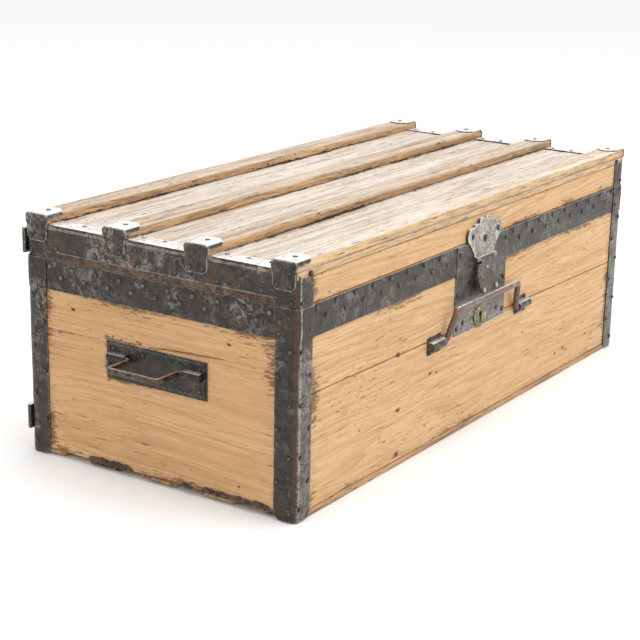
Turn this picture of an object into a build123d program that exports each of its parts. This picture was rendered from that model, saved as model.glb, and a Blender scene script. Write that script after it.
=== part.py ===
from build123d import *
import os
from math import cos, radians, sin

# Steamer trunk: a pine box with steel edge trim, a slatted lid on rear hinges, a hasp lock and bail handles.
#
# Frame, in millimetres: +X runs along the trunk to its right end, -Y faces the front, +Z is up.
# The origin is on the floor, under the middle of the trunk. Depths called "proud" are measured outward
# from the face of the boards, so a sheet nailed on the boards spans proud 0 to its thickness.

# Overall size, over the steel corner angles
trunk_length = 950.0
trunk_width = 442.0
trunk_height = 340.0
seam_height = 281.0
seam_gap = 1.0

# Boards and steel sheet
board = 12.0
lid_board = 11.0
plank = 10.0
sheet = 1.5
angle_sheet = 2.2
wrap_sheet = 1.5
corner_radius = 6.5
angle_flange = 34.0

# Trunk floor
runner_height = 10.0
runner_width = 52.0
runner_count = 5
runner_chamfer = 4.0
floor_board_count = 3
front_joint_height = 158.0
back_joint_height = 150.0

# Body band, under the seam
band_height = 43.0
binding_sheet = 0.8
binding_height = 9.0
binding_spans = ((-185.0, -72.0), (-58.0, -40.0), (42.0, 120.0))

# Dust lip inside the rim
lip_thickness = 6.0
lip_below = 20.0
lip_above = 9.0

# Lid
slat_width = 38.0
slat_height = 12.5
slat_round = 4.5
slat_count = 4
plank_joints = (-66.0, 21.0)
rim_height = 8.5
rim_proud = 2.0
fold_length = 26.0
plate_clip = 28.0
clamp_reach = 42.0
clamp_skirt = 5.0
clamp_lip = 1.5
clamp_leg_width = 35.0
clamp_leg_drop = 38.0
clamp_clip = 9.0

# Rear battens and their steel end caps
batten_proud = 8.5
batten_height = 32.0
lower_batten_base = 34.0
batten_lift = 2.5
cap_sheet = 1.0
cap_length = 34.0

# Lid hinges
hinge_offset = 260.0
hinge_width = 60.0
hinge_leaf = 2.5
hinge_radius = 5.0
hinge_proud = 6.8
hinge_pin_radius = 2.5
hinge_knuckle = 20.0
hinge_leaf_height = 26.0
hinge_stop_reach = 8.0
hinge_head = 1.5
running_clearance = 0.06
side_clearance = 0.2
fit = 0.1

# Nails
nail_radius = 4.0
nail_rise = 2.2
small_nail_radius = 3.0
small_nail_rise = 1.6
front_nail_pitch = 42.0
end_nail_pitch = 38.0
band_upper_row = 6.0
band_lower_row = 20.0
angle_nail_pitch = 30.0
lid_angle_nail_pitch = 17.0
batten_nail_pitch = 130.0
flange_near_row = 10.0
flange_far_row = 28.5

# Lock set, on the front
lock_x = -8.0
lock_plate_width = 150.0
lock_plate_base = 150.0
keyhole_height = 165.0
keyhole_radius = 4.6
keyhole_slot = 4.4
keyhole_drop = 13.0
keyhole_clearance = 0.6
escutcheon_width = 36.0
escutcheon_height = 33.0
case_width = 92.0
case_base = 153.0
case_top = 224.0
case_depth = 15.0
case_wall = 1.5
guide_starts = (-39.0, -16.0, 5.0)
guide_width = 6.0
guide_height = 14.0
bolt_length = 38.0
bolt_height = 5.5
bolt_thickness = 2.6
bolt_drawn_gap = 1.2
bolt_behind = 3.2
bolt_clearance = 0.1

# Hasp: its plate hangs from the lid over the lock plate, and its arm swings on a pin
hasp_plate_sheet = 1.8
hasp_plate_back = 3.5
ear_x, ear_rise, ear_round = 37.5, 8.5, 12.5
shoulder_x, shoulder_rise, shoulder_round = 23.5, 15.0, 10.0
lobe_x, lobe_rise, lobe_round = 8.5, 22.0, 10.5
crown_waist_x, crown_waist_rise = 46.0, 1.0
crown_nail_x = 38.0
hasp_axis_height = 254.0
hasp_knuckle_radius = 3.5
hasp_pin_radius = 1.6
hasp_knuckle_width = 56.0
hasp_neck_width = 36.0
hasp_neck_length = 7.0
hasp_arm_width = 52.0
hasp_arm_length = 50.0
hasp_stand_off = 11.0
hasp_gap = 0.3
hasp_waist = 6.0
hasp_nose = 7.0
hasp_end_round = 12.0
hasp_shoulder = 8.0
nose_stud_radius = 5.2
nose_stud_rise = 4.6
neck_stud_radius = 3.6
neck_stud_rise = 3.0
staple_width = 3.0
staple_height = 11.0
staple_eye_height = 7.0
staple_eye_depth = 3.8
staple_tip = 1.1

# Front bail handle
bail_radius = 4.5
bail_pivot_height = 154.0
bail_foot_end = 148.0
bail_foot_start = 104.0
bail_grip_half = 91.0
bail_reach = 44.0
bail_bend = 7.0
bail_tilt = 12.0
bracket_length = 36.0
bracket_height = 26.0
bracket_wall = 1.7

# End handles
handle_plate_width = 165.0
handle_plate_height = 52.0
handle_plate_centre = 161.0
handle_bead = 2.5
handle_bead_rise = 1.2
handle_bead_inset = 3.0
handle_axis_height = 166.0
handle_radius = 4.0
handle_tunnel_start = 48.0
handle_tunnel_end = 76.0
handle_tunnel_wall = 1.7
handle_corner = 40.5
handle_reach = 44.0
handle_bend = 7.0
handle_nail_inset = 11.0
handle_nail_middle = 22.0

# Derived places
wood_x = trunk_length / 2 - angle_sheet
wood_y = trunk_width / 2 - angle_sheet
body_top = seam_height - seam_gap / 2
lid_base = seam_height + seam_gap / 2
slat_top = trunk_height - sheet
slat_base = slat_top - slat_height
plank_base = slat_base - plank
band_base = seam_height - band_height
hinge_y = wood_y + hinge_proud
lip_inset = board
lock_y = -wood_y
bolt_z = 210.0
tunnel_bore = handle_radius + running_clearance
bracket_bore = bail_radius + running_clearance
handle_axis_proud = sheet + tunnel_bore
bail_axis_proud = sheet + bracket_bore
hasp_axis_proud = hasp_plate_back + hasp_knuckle_radius
MARGIN = 20.0


def block(x0, x1, y0, y1, z0, z1):
    """A box between two corners."""
    centre = Pos((x0 + x1) / 2, (y0 + y1) / 2, (z0 + z1) / 2)
    return centre * Box(abs(x1 - x0), abs(y1 - y0), abs(z1 - z0))


def shell_box(proud, z0, z1):
    """The rounded footprint of the boards, grown outward by a proud depth."""
    outline = RectangleRounded(2 * (wood_x + proud), 2 * (wood_y + proud), corner_radius + proud)
    return Pos(0, 0, z0) * extrude(outline, z1 - z0)


def trim_ring(inner, outer, z0, z1):
    """A ring of sheet that wraps the trunk, from one proud depth to another."""
    return shell_box(outer, z0, z1) - shell_box(inner, z0 - 1, z1 + 1)


def corner_zone(side_x, side_y, flange, z0, z1):
    """The space at one vertical corner, a flange wide on both faces."""
    x_in = side_x * (trunk_length / 2 - flange)
    y_in = side_y * (trunk_width / 2 - flange)
    x_out = side_x * (trunk_length / 2 + MARGIN)
    y_out = side_y * (trunk_width / 2 + MARGIN)
    return block(x_in, x_out, y_in, y_out, z0, z1)


def corners():
    """The four corners, as names and sides."""
    for name_y, side_y in (("front", -1), ("rear", 1)):
        for name_x, side_x in (("left", -1), ("right", 1)):
            yield f"{name_y}_{name_x}", side_x, side_y


def end_sides():
    """The two ends, as names and sides."""
    return (("left", -1), ("right", 1))


def along_x(outline, x0, x1):
    """Extrudes a Y-Z outline from x0 to x1."""
    return Pos(x0, 0, 0) * extrude(Plane.YZ * outline, x1 - x0, dir=(1, 0, 0))


def front_face(outline, proud0, proud1):
    """Extrudes an X-Z outline on the front, from one proud depth to another."""
    plane = Plane(origin=(0, lock_y - proud0, 0), x_dir=(1, 0, 0), z_dir=(0, -1, 0))
    return extrude(plane * outline, proud1 - proud0, dir=(0, -1, 0))


def rod_x(radius, x0, x1, y, z):
    """A round bar along X."""
    return Plane(origin=(x0, y, z), z_dir=(1, 0, 0)) * Cylinder(
        radius, x1 - x0, align=(Align.CENTER, Align.CENTER, Align.MIN)
    )


def save(node, *solids):
    """Writes one node, which may hold several separate solids."""
    pieces = [s for shape in solids for s in shape.solids()]
    shape = pieces[0] if len(pieces) == 1 else Compound(pieces)
    export_step(shape, f"parts/{node}.step")


# Boards of the body

def lock_mortise():
    """The hole through the front boards that the lock case fills."""
    half = case_width / 2
    return block(lock_x - half, lock_x + half, -wood_y - 1, -wood_y + board + 1, case_base, case_top)


def wall_board(side_y, z0, z1):
    """One full-length board of the front or back."""
    inner = side_y * (wood_y - board)
    zone = block(-trunk_length, trunk_length, inner, side_y * trunk_width, z0, z1)
    return shell_box(0, z0, z1) & zone


def end_board(side_x, thickness, z0, z1):
    """An end board, set between the front and back boards."""
    half = wood_y - thickness
    return block(side_x * (wood_x - thickness), side_x * wood_x, -half, half, z0, z1)


def floor_boards():
    """The floor, laid inside the walls."""
    half_x = wood_x - board
    half_y = wood_y - board
    width = 2 * half_y / floor_board_count
    top = runner_height + board
    starts = [-half_y + i * width for i in range(floor_board_count)]
    return [block(-half_x, half_x, y, y + width, runner_height, top) for y in starts]


def runner_centres():
    """Y of each runner: the outer two are flush with the front and back."""
    outer = wood_y - runner_width / 2
    step = 2 * outer / (runner_count - 1)
    return [-outer + i * step for i in range(runner_count)]


def runner(centre):
    """One floor runner with its lower edges taken off."""
    half = runner_width / 2
    bar = block(-wood_x, wood_x, centre - half, centre + half, 0, runner_height)
    bar &= shell_box(0, 0, runner_height)
    lower = bar.faces().sort_by(Axis.Z)[0].edges()
    return chamfer(lower, runner_chamfer)


def dust_lip():
    """Four strips inside the rim that stand up into the lid."""
    z0, z1 = body_top - lip_below, seam_height + lip_above
    x_out, y_out = wood_x - lip_inset, wood_y - lip_inset
    x_in, y_in = x_out - lip_thickness, y_out - lip_thickness
    long_strips = [block(-x_out, x_out, s * y_in, s * y_out, z0, z1) for s in (-1, 1)]
    short_strips = [block(s * x_in, s * x_out, -y_in, y_in, z0, z1) for s in (-1, 1)]
    return long_strips + short_strips


# Steel trim of the body

def corner_angle(side_x, side_y):
    """A steel angle over one vertical corner, from the floor to the band."""
    ring = trim_ring(0, angle_sheet, 0.6, band_base)
    return ring & corner_zone(side_x, side_y, angle_flange, 0, band_base)


def corner_wrap(side_x, side_y):
    """A strip dressed round one corner over the band."""
    ring = trim_ring(sheet, sheet + wrap_sheet, band_base, body_top)
    return ring & corner_zone(side_x, side_y, angle_flange + 1, band_base, body_top)


def long_band(side_y):
    """The band along the front or back, between the rounded corners."""
    half = trunk_length / 2 - angle_flange
    ring = trim_ring(0, sheet, band_base, body_top)
    return ring & block(-half, half, 0, side_y * trunk_width, band_base, body_top)


def end_band(side_x):
    """The band across one end, bent round both corners."""
    inner = trunk_length / 2 - angle_flange
    ring = trim_ring(0, sheet, band_base, body_top)
    return ring & block(side_x * inner, side_x * trunk_length, -trunk_width, trunk_width, band_base, body_top)


def end_binding(side_x):
    """What is left of the thin strip along the bottom of one end."""
    z0 = runner_height - 1
    x0, x1 = side_x * wood_x, side_x * (wood_x + binding_sheet)
    return [block(x0, x1, a, b, z0, z0 + binding_height) for a, b in binding_spans]


# Rear battens

def batten(z0, spans):
    """A rear batten in one or more lengths, rebated over the corner angles."""
    y0, y1 = wood_y, wood_y + batten_proud
    bars = [block(a, b, y0, y1, z0, z0 + batten_height) for a, b in spans]
    solid_body = shell_box(angle_sheet, z0 - 1, z0 + batten_height + 1)
    for side_x in (-1, 1):
        rebate = solid_body & corner_zone(side_x, 1, angle_flange, z0 - 1, z0 + batten_height + 1)
        bars = [bar - rebate for bar in bars]
    return bars


def batten_cap(side_x, z0):
    """A steel cap folded over the end of a rear batten."""
    x_out = side_x * trunk_length / 2
    x_in = x_out - side_x * cap_length
    y0, y1 = wood_y + angle_sheet, wood_y + batten_proud
    z1 = z0 + batten_height
    outer = block(x_in, x_out + side_x * cap_sheet, y0, y1 + cap_sheet, z0 - cap_sheet, z1 + cap_sheet)
    upright = outer.edges().filter_by(Axis.Z).sort_by(Axis.Y)[-2:].sort_by(Axis.X)
    outer = fillet(upright[0 if side_x < 0 else 1], batten_proud / 2)
    inner = block(x_in - side_x, x_out, y0 - 1, y1, z0, z1)
    return outer - inner


def lid_batten_spans():
    """The lid batten stops short of each hinge."""
    end = trunk_length / 2 - cap_sheet
    gap = hinge_width / 2 + 3
    left, right = -hinge_offset, hinge_offset
    return ((-end, left - gap), (left + gap, right - gap), (right + gap, end))


# Lid hinges

def hinge_bore(radius, x):
    """The hole along one hinge, or the shape of its pin."""
    half = hinge_width / 2 + MARGIN
    return rod_x(radius, x - half, x + half, hinge_y, seam_height)


def hinge_body_leaf(x):
    """The fixed leaf, nailed over the rear band, with the two outer knuckles."""
    half = hinge_width / 2
    top = seam_height - hinge_radius - 1
    face = wood_y + sheet
    leaf = block(x - half, x + half, face, face + hinge_leaf, top - hinge_leaf_height, top)
    for side in (-1, 1):
        x_in = x + side * (hinge_knuckle / 2 + side_clearance)
        x_out = x + side * half
        low, high = min(x_in, x_out), max(x_in, x_out)
        leaf += rod_x(hinge_radius, low, high, hinge_y, seam_height)
        leaf += block(low, high, face, hinge_y, top - 1, seam_height)
    return leaf - hinge_bore(hinge_pin_radius, x)


def hinge_lid_leaf(x):
    """The moving leaf, on the lid's back, with the middle knuckle and a stop lug."""
    half = hinge_width / 2
    base = seam_height + hinge_radius + 1
    leaf = block(x - half, x + half, wood_y, wood_y + hinge_leaf, base, base + hinge_leaf_height)
    low, high = x - hinge_knuckle / 2, x + hinge_knuckle / 2
    leaf += block(low, high, wood_y, hinge_y, lid_base, base + 2)
    leaf += rod_x(hinge_radius, low, high, hinge_y, seam_height)
    leaf += block(low + 4, high - 4, hinge_y, hinge_y + hinge_stop_reach, seam_height - 1, seam_height + 1)
    return leaf - hinge_bore(hinge_pin_radius + running_clearance, x)


def hinge_pin(x):
    """A riveted hinge pin."""
    half = hinge_width / 2
    pin = rod_x(hinge_pin_radius, x - half, x + half, hinge_y, seam_height)
    for side in (-1, 1):
        low, high = sorted((x + side * half, x + side * (half + hinge_head)))
        pin += rod_x(hinge_pin_radius + 1, low, high, hinge_y, seam_height)
    return pin


# Lid

def lid_wall(side_y):
    """The front or back board of the lid."""
    inner = side_y * (wood_y - lid_board)
    zone = block(-trunk_length, trunk_length, inner, side_y * trunk_width, lid_base, plank_base)
    return shell_box(0, lid_base, plank_base) & zone


def lid_plank(y0, y1):
    """One top plank, covering the edges of the lid's walls."""
    zone = block(-trunk_length, trunk_length, y0, y1, plank_base, slat_base)
    return shell_box(0, plank_base, slat_base) & zone


def slat_centres():
    """Y of each slat: the outer two are flush with the front and back."""
    outer = wood_y - slat_width / 2
    step = 2 * outer / (slat_count - 1)
    return [-outer + i * step for i in range(slat_count)]


def slat_profile(centre, grow):
    """The cross-section of a slat, grown by a sheet's thickness."""
    half = slat_width / 2 + grow
    box = Pos(centre, slat_base + slat_height / 2 + grow / 2) * Rectangle(2 * half, slat_height + grow)
    top = box.vertices().sort_by(Axis.Y)[-2:]
    return fillet(top, slat_round + grow)


def slat(centre):
    """One long slat with rounded upper edges."""
    half = wood_x + sheet
    return along_x(slat_profile(centre, 0), -half, half)


def clamp_plan(side_x, centre):
    """The space of a clamp's top leg: clipped corners on the left, a round end on the right."""
    x_out = side_x * (wood_x + 2 * sheet)
    x_in = x_out - side_x * clamp_reach
    half = slat_width / 2 + sheet
    if side_x > 0:
        tongue = Pos(x_in + half, centre) * Circle(half)
        tongue += Pos((x_in + half + x_out) / 2, centre) * Rectangle(x_out - x_in - half, 2 * half)
        return Pos(0, 0, slat_top - clamp_lip) * extrude(tongue, clamp_lip + sheet, dir=(0, 0, 1))
    outline = Polygon(
        (x_out, centre - half),
        (x_out, centre + half),
        (x_in - clamp_clip, centre + half),
        (x_in, centre + half - clamp_clip),
        (x_in, centre - half + clamp_clip),
        (x_in - clamp_clip, centre - half),
        align=None,
    )
    return Pos(0, 0, slat_top - clamp_skirt) * extrude(outline, clamp_skirt + sheet, dir=(0, 0, 1))


def slat_clamp(side_x, centre):
    """A steel clamp folded over the end of a slat and down the lid's end."""
    x_face = side_x * (wood_x + sheet)
    x_out = side_x * (wood_x + 2 * sheet)
    x_in = x_out - side_x * clamp_reach
    low, high = sorted((x_in, x_out))
    saddle = along_x(slat_profile(centre, sheet) - slat_profile(centre, 0), low, high)
    saddle = saddle & clamp_plan(side_x, centre)
    leg_top = slat_base + 1
    leg_base = trunk_height - clamp_leg_drop
    leg = Pos(centre, (leg_top + leg_base) / 2) * Rectangle(clamp_leg_width, leg_top - leg_base)
    leg = fillet(leg.vertices().sort_by(Axis.Y)[:2], clamp_skirt)
    cap_low, cap_high = sorted((x_face, x_out))
    cap = along_x(slat_profile(centre, sheet) + leg, cap_low, cap_high)
    return saddle + cap


def lid_corner_angle(side_x, side_y):
    """A steel angle over one vertical corner of the lid."""
    ring = trim_ring(0, sheet, lid_base, slat_base)
    angle = ring & corner_zone(side_x, side_y, angle_flange, lid_base, slat_base)
    if side_y < 0:
        return angle
    half = trunk_width / 2 - angle_flange
    x_face, x_out = side_x * wood_x, side_x * (wood_x + sheet)
    above_rim = block(x_face, x_out, 0, half, lid_base + rim_height, slat_base)
    return angle + (end_plate_clip(side_x) & above_rim)


def end_plate_clip(side_x):
    """The slanting corner of the rear angle that the end plate makes room for."""
    corner = Pos(side_x * wood_x, trunk_width / 2 - angle_flange, lid_base + rim_height) * Rot(45, 0, 0)
    return corner * Box(2 * MARGIN, plate_clip / 2, plate_clip / 2)


def lid_end_plate(side_x):
    """The sheet over one end of the lid, folded onto the planks between the slats."""
    half = trunk_width / 2 - angle_flange
    x_face, x_out = side_x * wood_x, side_x * (wood_x + sheet)
    base = lid_base + rim_height
    plate = block(x_face, x_out, -half, half, base, slat_base) - end_plate_clip(side_x)
    centres = slat_centres()
    x_in = x_face - side_x * fold_length
    for near, far in zip(centres, centres[1:]):
        y0, y1 = near + slat_width / 2 + sheet, far - slat_width / 2 - sheet
        plate += block(x_in, x_out, y0, y1, slat_base, slat_base + sheet)
    return plate


def lid_rim(side_x):
    """The strip along the lower edge of the lid's end."""
    half = trunk_width / 2 - angle_flange
    x0, x1 = side_x * wood_x, side_x * (wood_x + rim_proud)
    return block(x0, x1, -half, half, lid_base, lid_base + rim_height)


# Lock set

def keyhole(grow):
    """A keyhole outline, grown for a clearance hole."""
    eye = Pos(lock_x, keyhole_height + keyhole_drop / 4) * Circle(keyhole_radius + grow)
    low = Pos(lock_x, keyhole_height - keyhole_drop / 4)
    return eye + low * Rectangle(keyhole_slot + 2 * grow, keyhole_drop + 2 * grow)


def lock_plate():
    """The sheet under the hasp: it steps out over the band."""
    step = sheet + fit
    low, knee = lock_plate_base, band_base - 2 * fit
    face = wood_y
    profile = Polygon(
        (-face, low),
        (-face - sheet, low),
        (-face - sheet, knee - 3.5),
        (-face - sheet - step, knee - 1),
        (-face - sheet - step, body_top),
        (-face - step, body_top),
        (-face - step, knee),
        (-face, knee - 2.5),
        align=None,
    )
    half = lock_plate_width / 2
    plate = along_x(profile, lock_x - half, lock_x + half)
    plate -= front_face(keyhole(keyhole_clearance), -1, 2 * sheet)
    return plate - front_face(staple_slot(), -1, 2 * sheet)


def staple_slot():
    """The slot that the hasp's staple enters."""
    return Pos(lock_x, bolt_z) * Rectangle(staple_width + 1.6, staple_height + 6)


def escutcheon():
    """An oval brass keyhole surround."""
    oval = Pos(lock_x, keyhole_height) * Ellipse(escutcheon_width / 2, escutcheon_height / 2)
    disc = front_face(oval, sheet, 2 * sheet)
    rim = disc.faces().sort_by(Axis.Y)[0].edges()
    return chamfer(rim, 0.5) - front_face(keyhole(0), 0, 3 * sheet)


def bolt_section(grow):
    """The bolt's cross-section, as a block reach along X set by the caller."""
    y = lock_y + bolt_behind
    half_y = bolt_thickness / 2 + grow
    half_z = bolt_height / 2 + grow
    return y - half_y, y + half_y, bolt_z - half_z, bolt_z + half_z


def lock_bolt():
    """The sliding bolt, drawn back clear of the staple."""
    x1 = lock_x - staple_width / 2 - bolt_drawn_gap
    return block(x1 - bolt_length, x1, *bolt_section(0))


def lock_case():
    """The case in the mortise, open behind the lock plate, with the bolt's guides."""
    half = case_width / 2 - side_clearance
    front = lock_y + fit
    back = lock_y + case_depth
    low, high = case_base + side_clearance, case_top - side_clearance
    case = block(lock_x - half, lock_x + half, front, back, low, high)
    hollow_half = half - case_wall
    case -= block(
        lock_x - hollow_half,
        lock_x + hollow_half,
        front - 1,
        back - case_wall,
        low + case_wall,
        high - case_wall,
    )
    for start in guide_starts:
        x0 = lock_x + start
        z0, z1 = bolt_z - guide_height / 2, bolt_z + guide_height / 2
        case += block(x0, x0 + guide_width, front + case_wall, back, z0, z1)
    channel_end = lock_x + guide_starts[-1] + 2 * guide_width
    return case - block(lock_x - hollow_half, channel_end, *bolt_section(bolt_clearance))


# Hasp

def crown_lobe(x, rise, radius):
    """A round lobe of the hasp plate's edge, on both sides of the middle."""
    height = seam_height + rise
    return Pos(lock_x - x, height) * Circle(radius) + Pos(lock_x + x, height) * Circle(radius)


def hasp_plate_outline():
    """The plate from the front: three pairs of lobes above, and a tail that tapers to the knuckles."""
    half = hasp_knuckle_width / 2
    foot = hasp_axis_height + 1
    waist = seam_height + crown_waist_rise
    above_pin = foot + 3 * hasp_pin_radius
    body = Polygon(
        (lock_x - half, above_pin),
        (lock_x - half, foot),
        (lock_x + half, foot),
        (lock_x + half, above_pin),
        (lock_x + crown_waist_x, waist),
        (lock_x + ear_x, seam_height + ear_rise),
        (lock_x + lobe_x, seam_height + lobe_rise),
        (lock_x - lobe_x, seam_height + lobe_rise),
        (lock_x - ear_x, seam_height + ear_rise),
        (lock_x - crown_waist_x, waist),
        align=None,
    )
    outline = body + crown_lobe(ear_x, ear_rise, ear_round)
    outline += crown_lobe(shoulder_x, shoulder_rise, shoulder_round)
    return outline + crown_lobe(lobe_x, lobe_rise, lobe_round)


def hasp_plate():
    """A dished plate on the lid; its tail hangs over the lock plate and ends in two knuckles."""
    outline = hasp_plate_outline()
    top = hasp_plate_back + hasp_plate_sheet
    tail = front_face(outline, hasp_plate_back, top)
    skirt = front_face(outline - offset(outline, -hasp_plate_sheet), 0, hasp_plate_back)
    skirt = skirt & block(-trunk_length, trunk_length, -trunk_width, trunk_width, lid_base, trunk_height)
    plate = tail + skirt
    axis_y = lock_y - hasp_axis_proud
    for side in (-1, 1):
        x_in = lock_x + side * (hasp_neck_width / 2 + side_clearance)
        x_out = lock_x + side * hasp_knuckle_width / 2
        low, high = sorted((x_in, x_out))
        plate += rod_x(hasp_knuckle_radius, low, high, axis_y, hasp_axis_height)
    half = hasp_neck_width / 2 + side_clearance
    reach = hasp_knuckle_radius + 4 * fit
    plate -= rod_x(reach, lock_x - half, lock_x + half, axis_y, hasp_axis_height)
    bore = rod_x(hasp_pin_radius, lock_x - MARGIN * 2, lock_x + MARGIN * 2, axis_y, hasp_axis_height)
    return plate - bore


def hasp_pin():
    """The pin through the hasp's knuckles."""
    half = hasp_knuckle_width / 2
    axis_y = lock_y - hasp_axis_proud
    pin = rod_x(hasp_pin_radius, lock_x - half, lock_x + half, axis_y, hasp_axis_height)
    for side in (-1, 1):
        low, high = sorted((lock_x + side * half, lock_x + side * (half + 1)))
        pin += rod_x(hasp_pin_radius + 0.8, low, high, axis_y, hasp_axis_height)
    return pin


def hasp_arm_side():
    """The arm's side view in its locked place: it leaves the knuckle, dips, and swells at the nose."""
    top = hasp_axis_height
    bottom = top - hasp_arm_length
    axis_y = lock_y - hasp_axis_proud
    back = lock_y - sheet - hasp_gap
    over_band = lock_y - 2 * sheet - 2 * hasp_gap
    knuckle = (axis_y - hasp_knuckle_radius, top)
    waist = (lock_y - hasp_waist, top - 0.4 * hasp_arm_length)
    nose = (lock_y - hasp_nose, bottom + 0.22 * hasp_arm_length)
    tip = (back - hasp_gap, bottom)
    shoulder = (over_band, top - hasp_shoulder)
    under_step = (back, band_base - hasp_shoulder)
    over_step = (over_band, band_base - hasp_shoulder + 2 * sheet)
    back_points = [tip, (back, bottom + 1), under_step, over_step, shoulder]
    lines = [
        Spline(knuckle, waist, nose, tangents=((0, -1), (0, -1))),
        ThreePointArc(nose, (nose[0] + 1.4, bottom + 2.5), tip),
        Polyline(*back_points),
        Line(shoulder, (axis_y, top - 2)),
        Line((axis_y, top - 2), (axis_y, top)),
        Line((axis_y, top), knuckle),
    ]
    return make_face(lines)


def hasp_arm_front():
    """The arm's front view: a neck between the knuckles, straight sides and a round lower end."""
    length = hasp_arm_length - hasp_neck_length
    middle = hasp_axis_height - hasp_arm_length + length / 2
    panel = Pos(lock_x, middle) * Rectangle(hasp_arm_width, length)
    panel = fillet(panel.vertices().sort_by(Axis.Y)[:2], hasp_end_round)
    return panel + Pos(lock_x, hasp_axis_height - length / 2) * Rectangle(hasp_neck_width, length)


def hasp_stud(x, height, proud, radius, rise):
    """A domed stud on the front of the arm."""
    return Plane(origin=(x, lock_y - proud, height), z_dir=(0, -1, 0)) * nail_head(radius, rise)


def hasp_staple():
    """The staple behind the nose, with the eye that the bolt passes through."""
    half = staple_width / 2
    eye_deep = bolt_behind + staple_eye_depth / 2
    tip_y = lock_y + eye_deep + staple_tip
    z0, z1 = bolt_z - staple_height / 2, bolt_z + staple_height / 2
    bar = block(lock_x - half, lock_x + half, lock_y - sheet - 1, tip_y, z0, z1)
    eye_half = staple_eye_height / 2
    eye_y = lock_y + bolt_behind - staple_eye_depth / 2
    low, high = bolt_z - eye_half, bolt_z + eye_half
    return bar - block(lock_x - half - 1, lock_x + half + 1, eye_y, tip_y - staple_tip, low, high)


def hasp():
    """The swinging arm, built in its locked place and turned out to where it hangs."""
    axis_y = lock_y - hasp_axis_proud
    half = hasp_arm_width / 2
    arm = along_x(hasp_arm_side(), lock_x - half, lock_x + half)
    arm &= front_face(hasp_arm_front(), 0, hasp_plate_back + 3 * hasp_knuckle_radius)
    nose_height = hasp_axis_height - hasp_arm_length + nose_stud_radius
    for side in (-1, 1):
        x = lock_x + side * (half - 1.5 * nose_stud_radius)
        arm += hasp_stud(x, nose_height, hasp_nose - 1, nose_stud_radius, nose_stud_rise)
    neck_height = hasp_axis_height - 4 * neck_stud_radius
    arm += hasp_stud(lock_x, neck_height, hasp_waist, neck_stud_radius, neck_stud_rise)
    neck_half = hasp_neck_width / 2
    arm += rod_x(hasp_knuckle_radius, lock_x - neck_half, lock_x + neck_half, axis_y, hasp_axis_height)
    arm += hasp_staple()
    bore = hasp_pin_radius + running_clearance
    arm -= rod_x(bore, lock_x - half - 1, lock_x + half + 1, axis_y, hasp_axis_height)
    pivot = Axis((0, axis_y, hasp_axis_height), (-1, 0, 0))
    return arm.rotate(pivot, hasp_stand_off)


# Bail handles

def bent_rod(points, radius, bend, plane):
    """A round rod bent through points in a plane, with equal bends."""
    path = plane * FilletPolyline(*points, radius=bend)
    section = Plane(origin=path @ 0, z_dir=path % 0) * Circle(radius)
    return sweep(section, path=path)


def front_bail():
    """The front handle: its feet turn in the brackets, and it stands up leaning outward."""
    lean = radians(bail_tilt)
    origin = (lock_x, lock_y - bail_axis_proud, bail_pivot_height)
    plane = Plane(origin=origin, x_dir=(1, 0, 0), z_dir=(0, -cos(lean), -sin(lean)))
    points = [
        (-bail_foot_end, 0),
        (-bail_foot_start, 0),
        (-bail_grip_half, bail_reach),
        (bail_grip_half, bail_reach),
        (bail_foot_start, 0),
        (bail_foot_end, 0),
    ]
    return bent_rod(points, bail_radius, bail_bend, plane)


def bail_bracket(side_x):
    """A folded bracket that holds one foot of the front bail."""
    centre = lock_x + side_x * (bail_foot_end - bracket_length / 2 - 1)
    low, high = centre - bracket_length / 2, centre + bracket_length / 2
    outer = bracket_bore + bracket_wall
    y = lock_y - bail_axis_proud
    half = bracket_height / 2
    bracket = block(low, high, lock_y - sheet, lock_y, bail_pivot_height - half, bail_pivot_height + half)
    in_front = block(low, high, y - MARGIN, lock_y - sheet, 0, trunk_height)
    bracket += rod_x(outer, low, high, y, bail_pivot_height) & in_front
    z0, z1 = bail_pivot_height - outer, bail_pivot_height + outer
    bracket += block(low, high, y, lock_y - sheet, z0, z1)
    return bracket - rod_x(bracket_bore, low - 1, high + 1, y, bail_pivot_height)


def end_face(side_x, outline, proud0, proud1):
    """Extrudes an outline on one end, drawn with Y across and Z up."""
    plane = Plane(origin=(side_x * (wood_x + proud0), 0, 0), x_dir=(0, 1, 0), z_dir=(1, 0, 0))
    return extrude(plane * outline, proud1 - proud0, dir=(side_x, 0, 0))


def rod_y(radius, side_x, y0, y1):
    """A round bar along Y on an end handle's axis."""
    x = side_x * (wood_x + handle_axis_proud)
    return Plane(origin=(x, y0, handle_axis_height), z_dir=(0, 1, 0)) * Cylinder(
        radius, y1 - y0, align=(Align.CENTER, Align.CENTER, Align.MIN)
    )


def handle_plate(side_x):
    """A pressed plate with a raised bead and two tunnels for the handle's feet."""
    place = Pos(0, handle_plate_centre)
    plate = end_face(side_x, place * Rectangle(handle_plate_width, handle_plate_height), 0, sheet)
    inset = 2 * handle_bead_inset
    outer = RectangleRounded(handle_plate_width - inset, handle_plate_height - inset, 3)
    inner_width = handle_plate_width - inset - 2 * handle_bead
    inner_height = handle_plate_height - inset - 2 * handle_bead
    bead = outer - RectangleRounded(inner_width, inner_height, 1)
    plate += end_face(side_x, place * bead, sheet, sheet + handle_bead_rise)
    outer_radius = tunnel_bore + handle_tunnel_wall
    x_face = side_x * (wood_x + sheet)
    x_axis = side_x * (wood_x + handle_axis_proud)
    for side_y in (-1, 1):
        y0, y1 = sorted((side_y * handle_tunnel_start, side_y * handle_tunnel_end))
        arch = rod_y(outer_radius, side_x, y0, y1)
        arch &= block(x_face, x_face + side_x * MARGIN, y0, y1, 0, trunk_height)
        z0, z1 = handle_axis_height - outer_radius, handle_axis_height + outer_radius
        arch += block(x_face, x_axis, y0, y1, z0, z1)
        plate += arch
    half = handle_plate_width / 2
    return plate - rod_y(tunnel_bore, side_x, -half, half)


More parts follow.
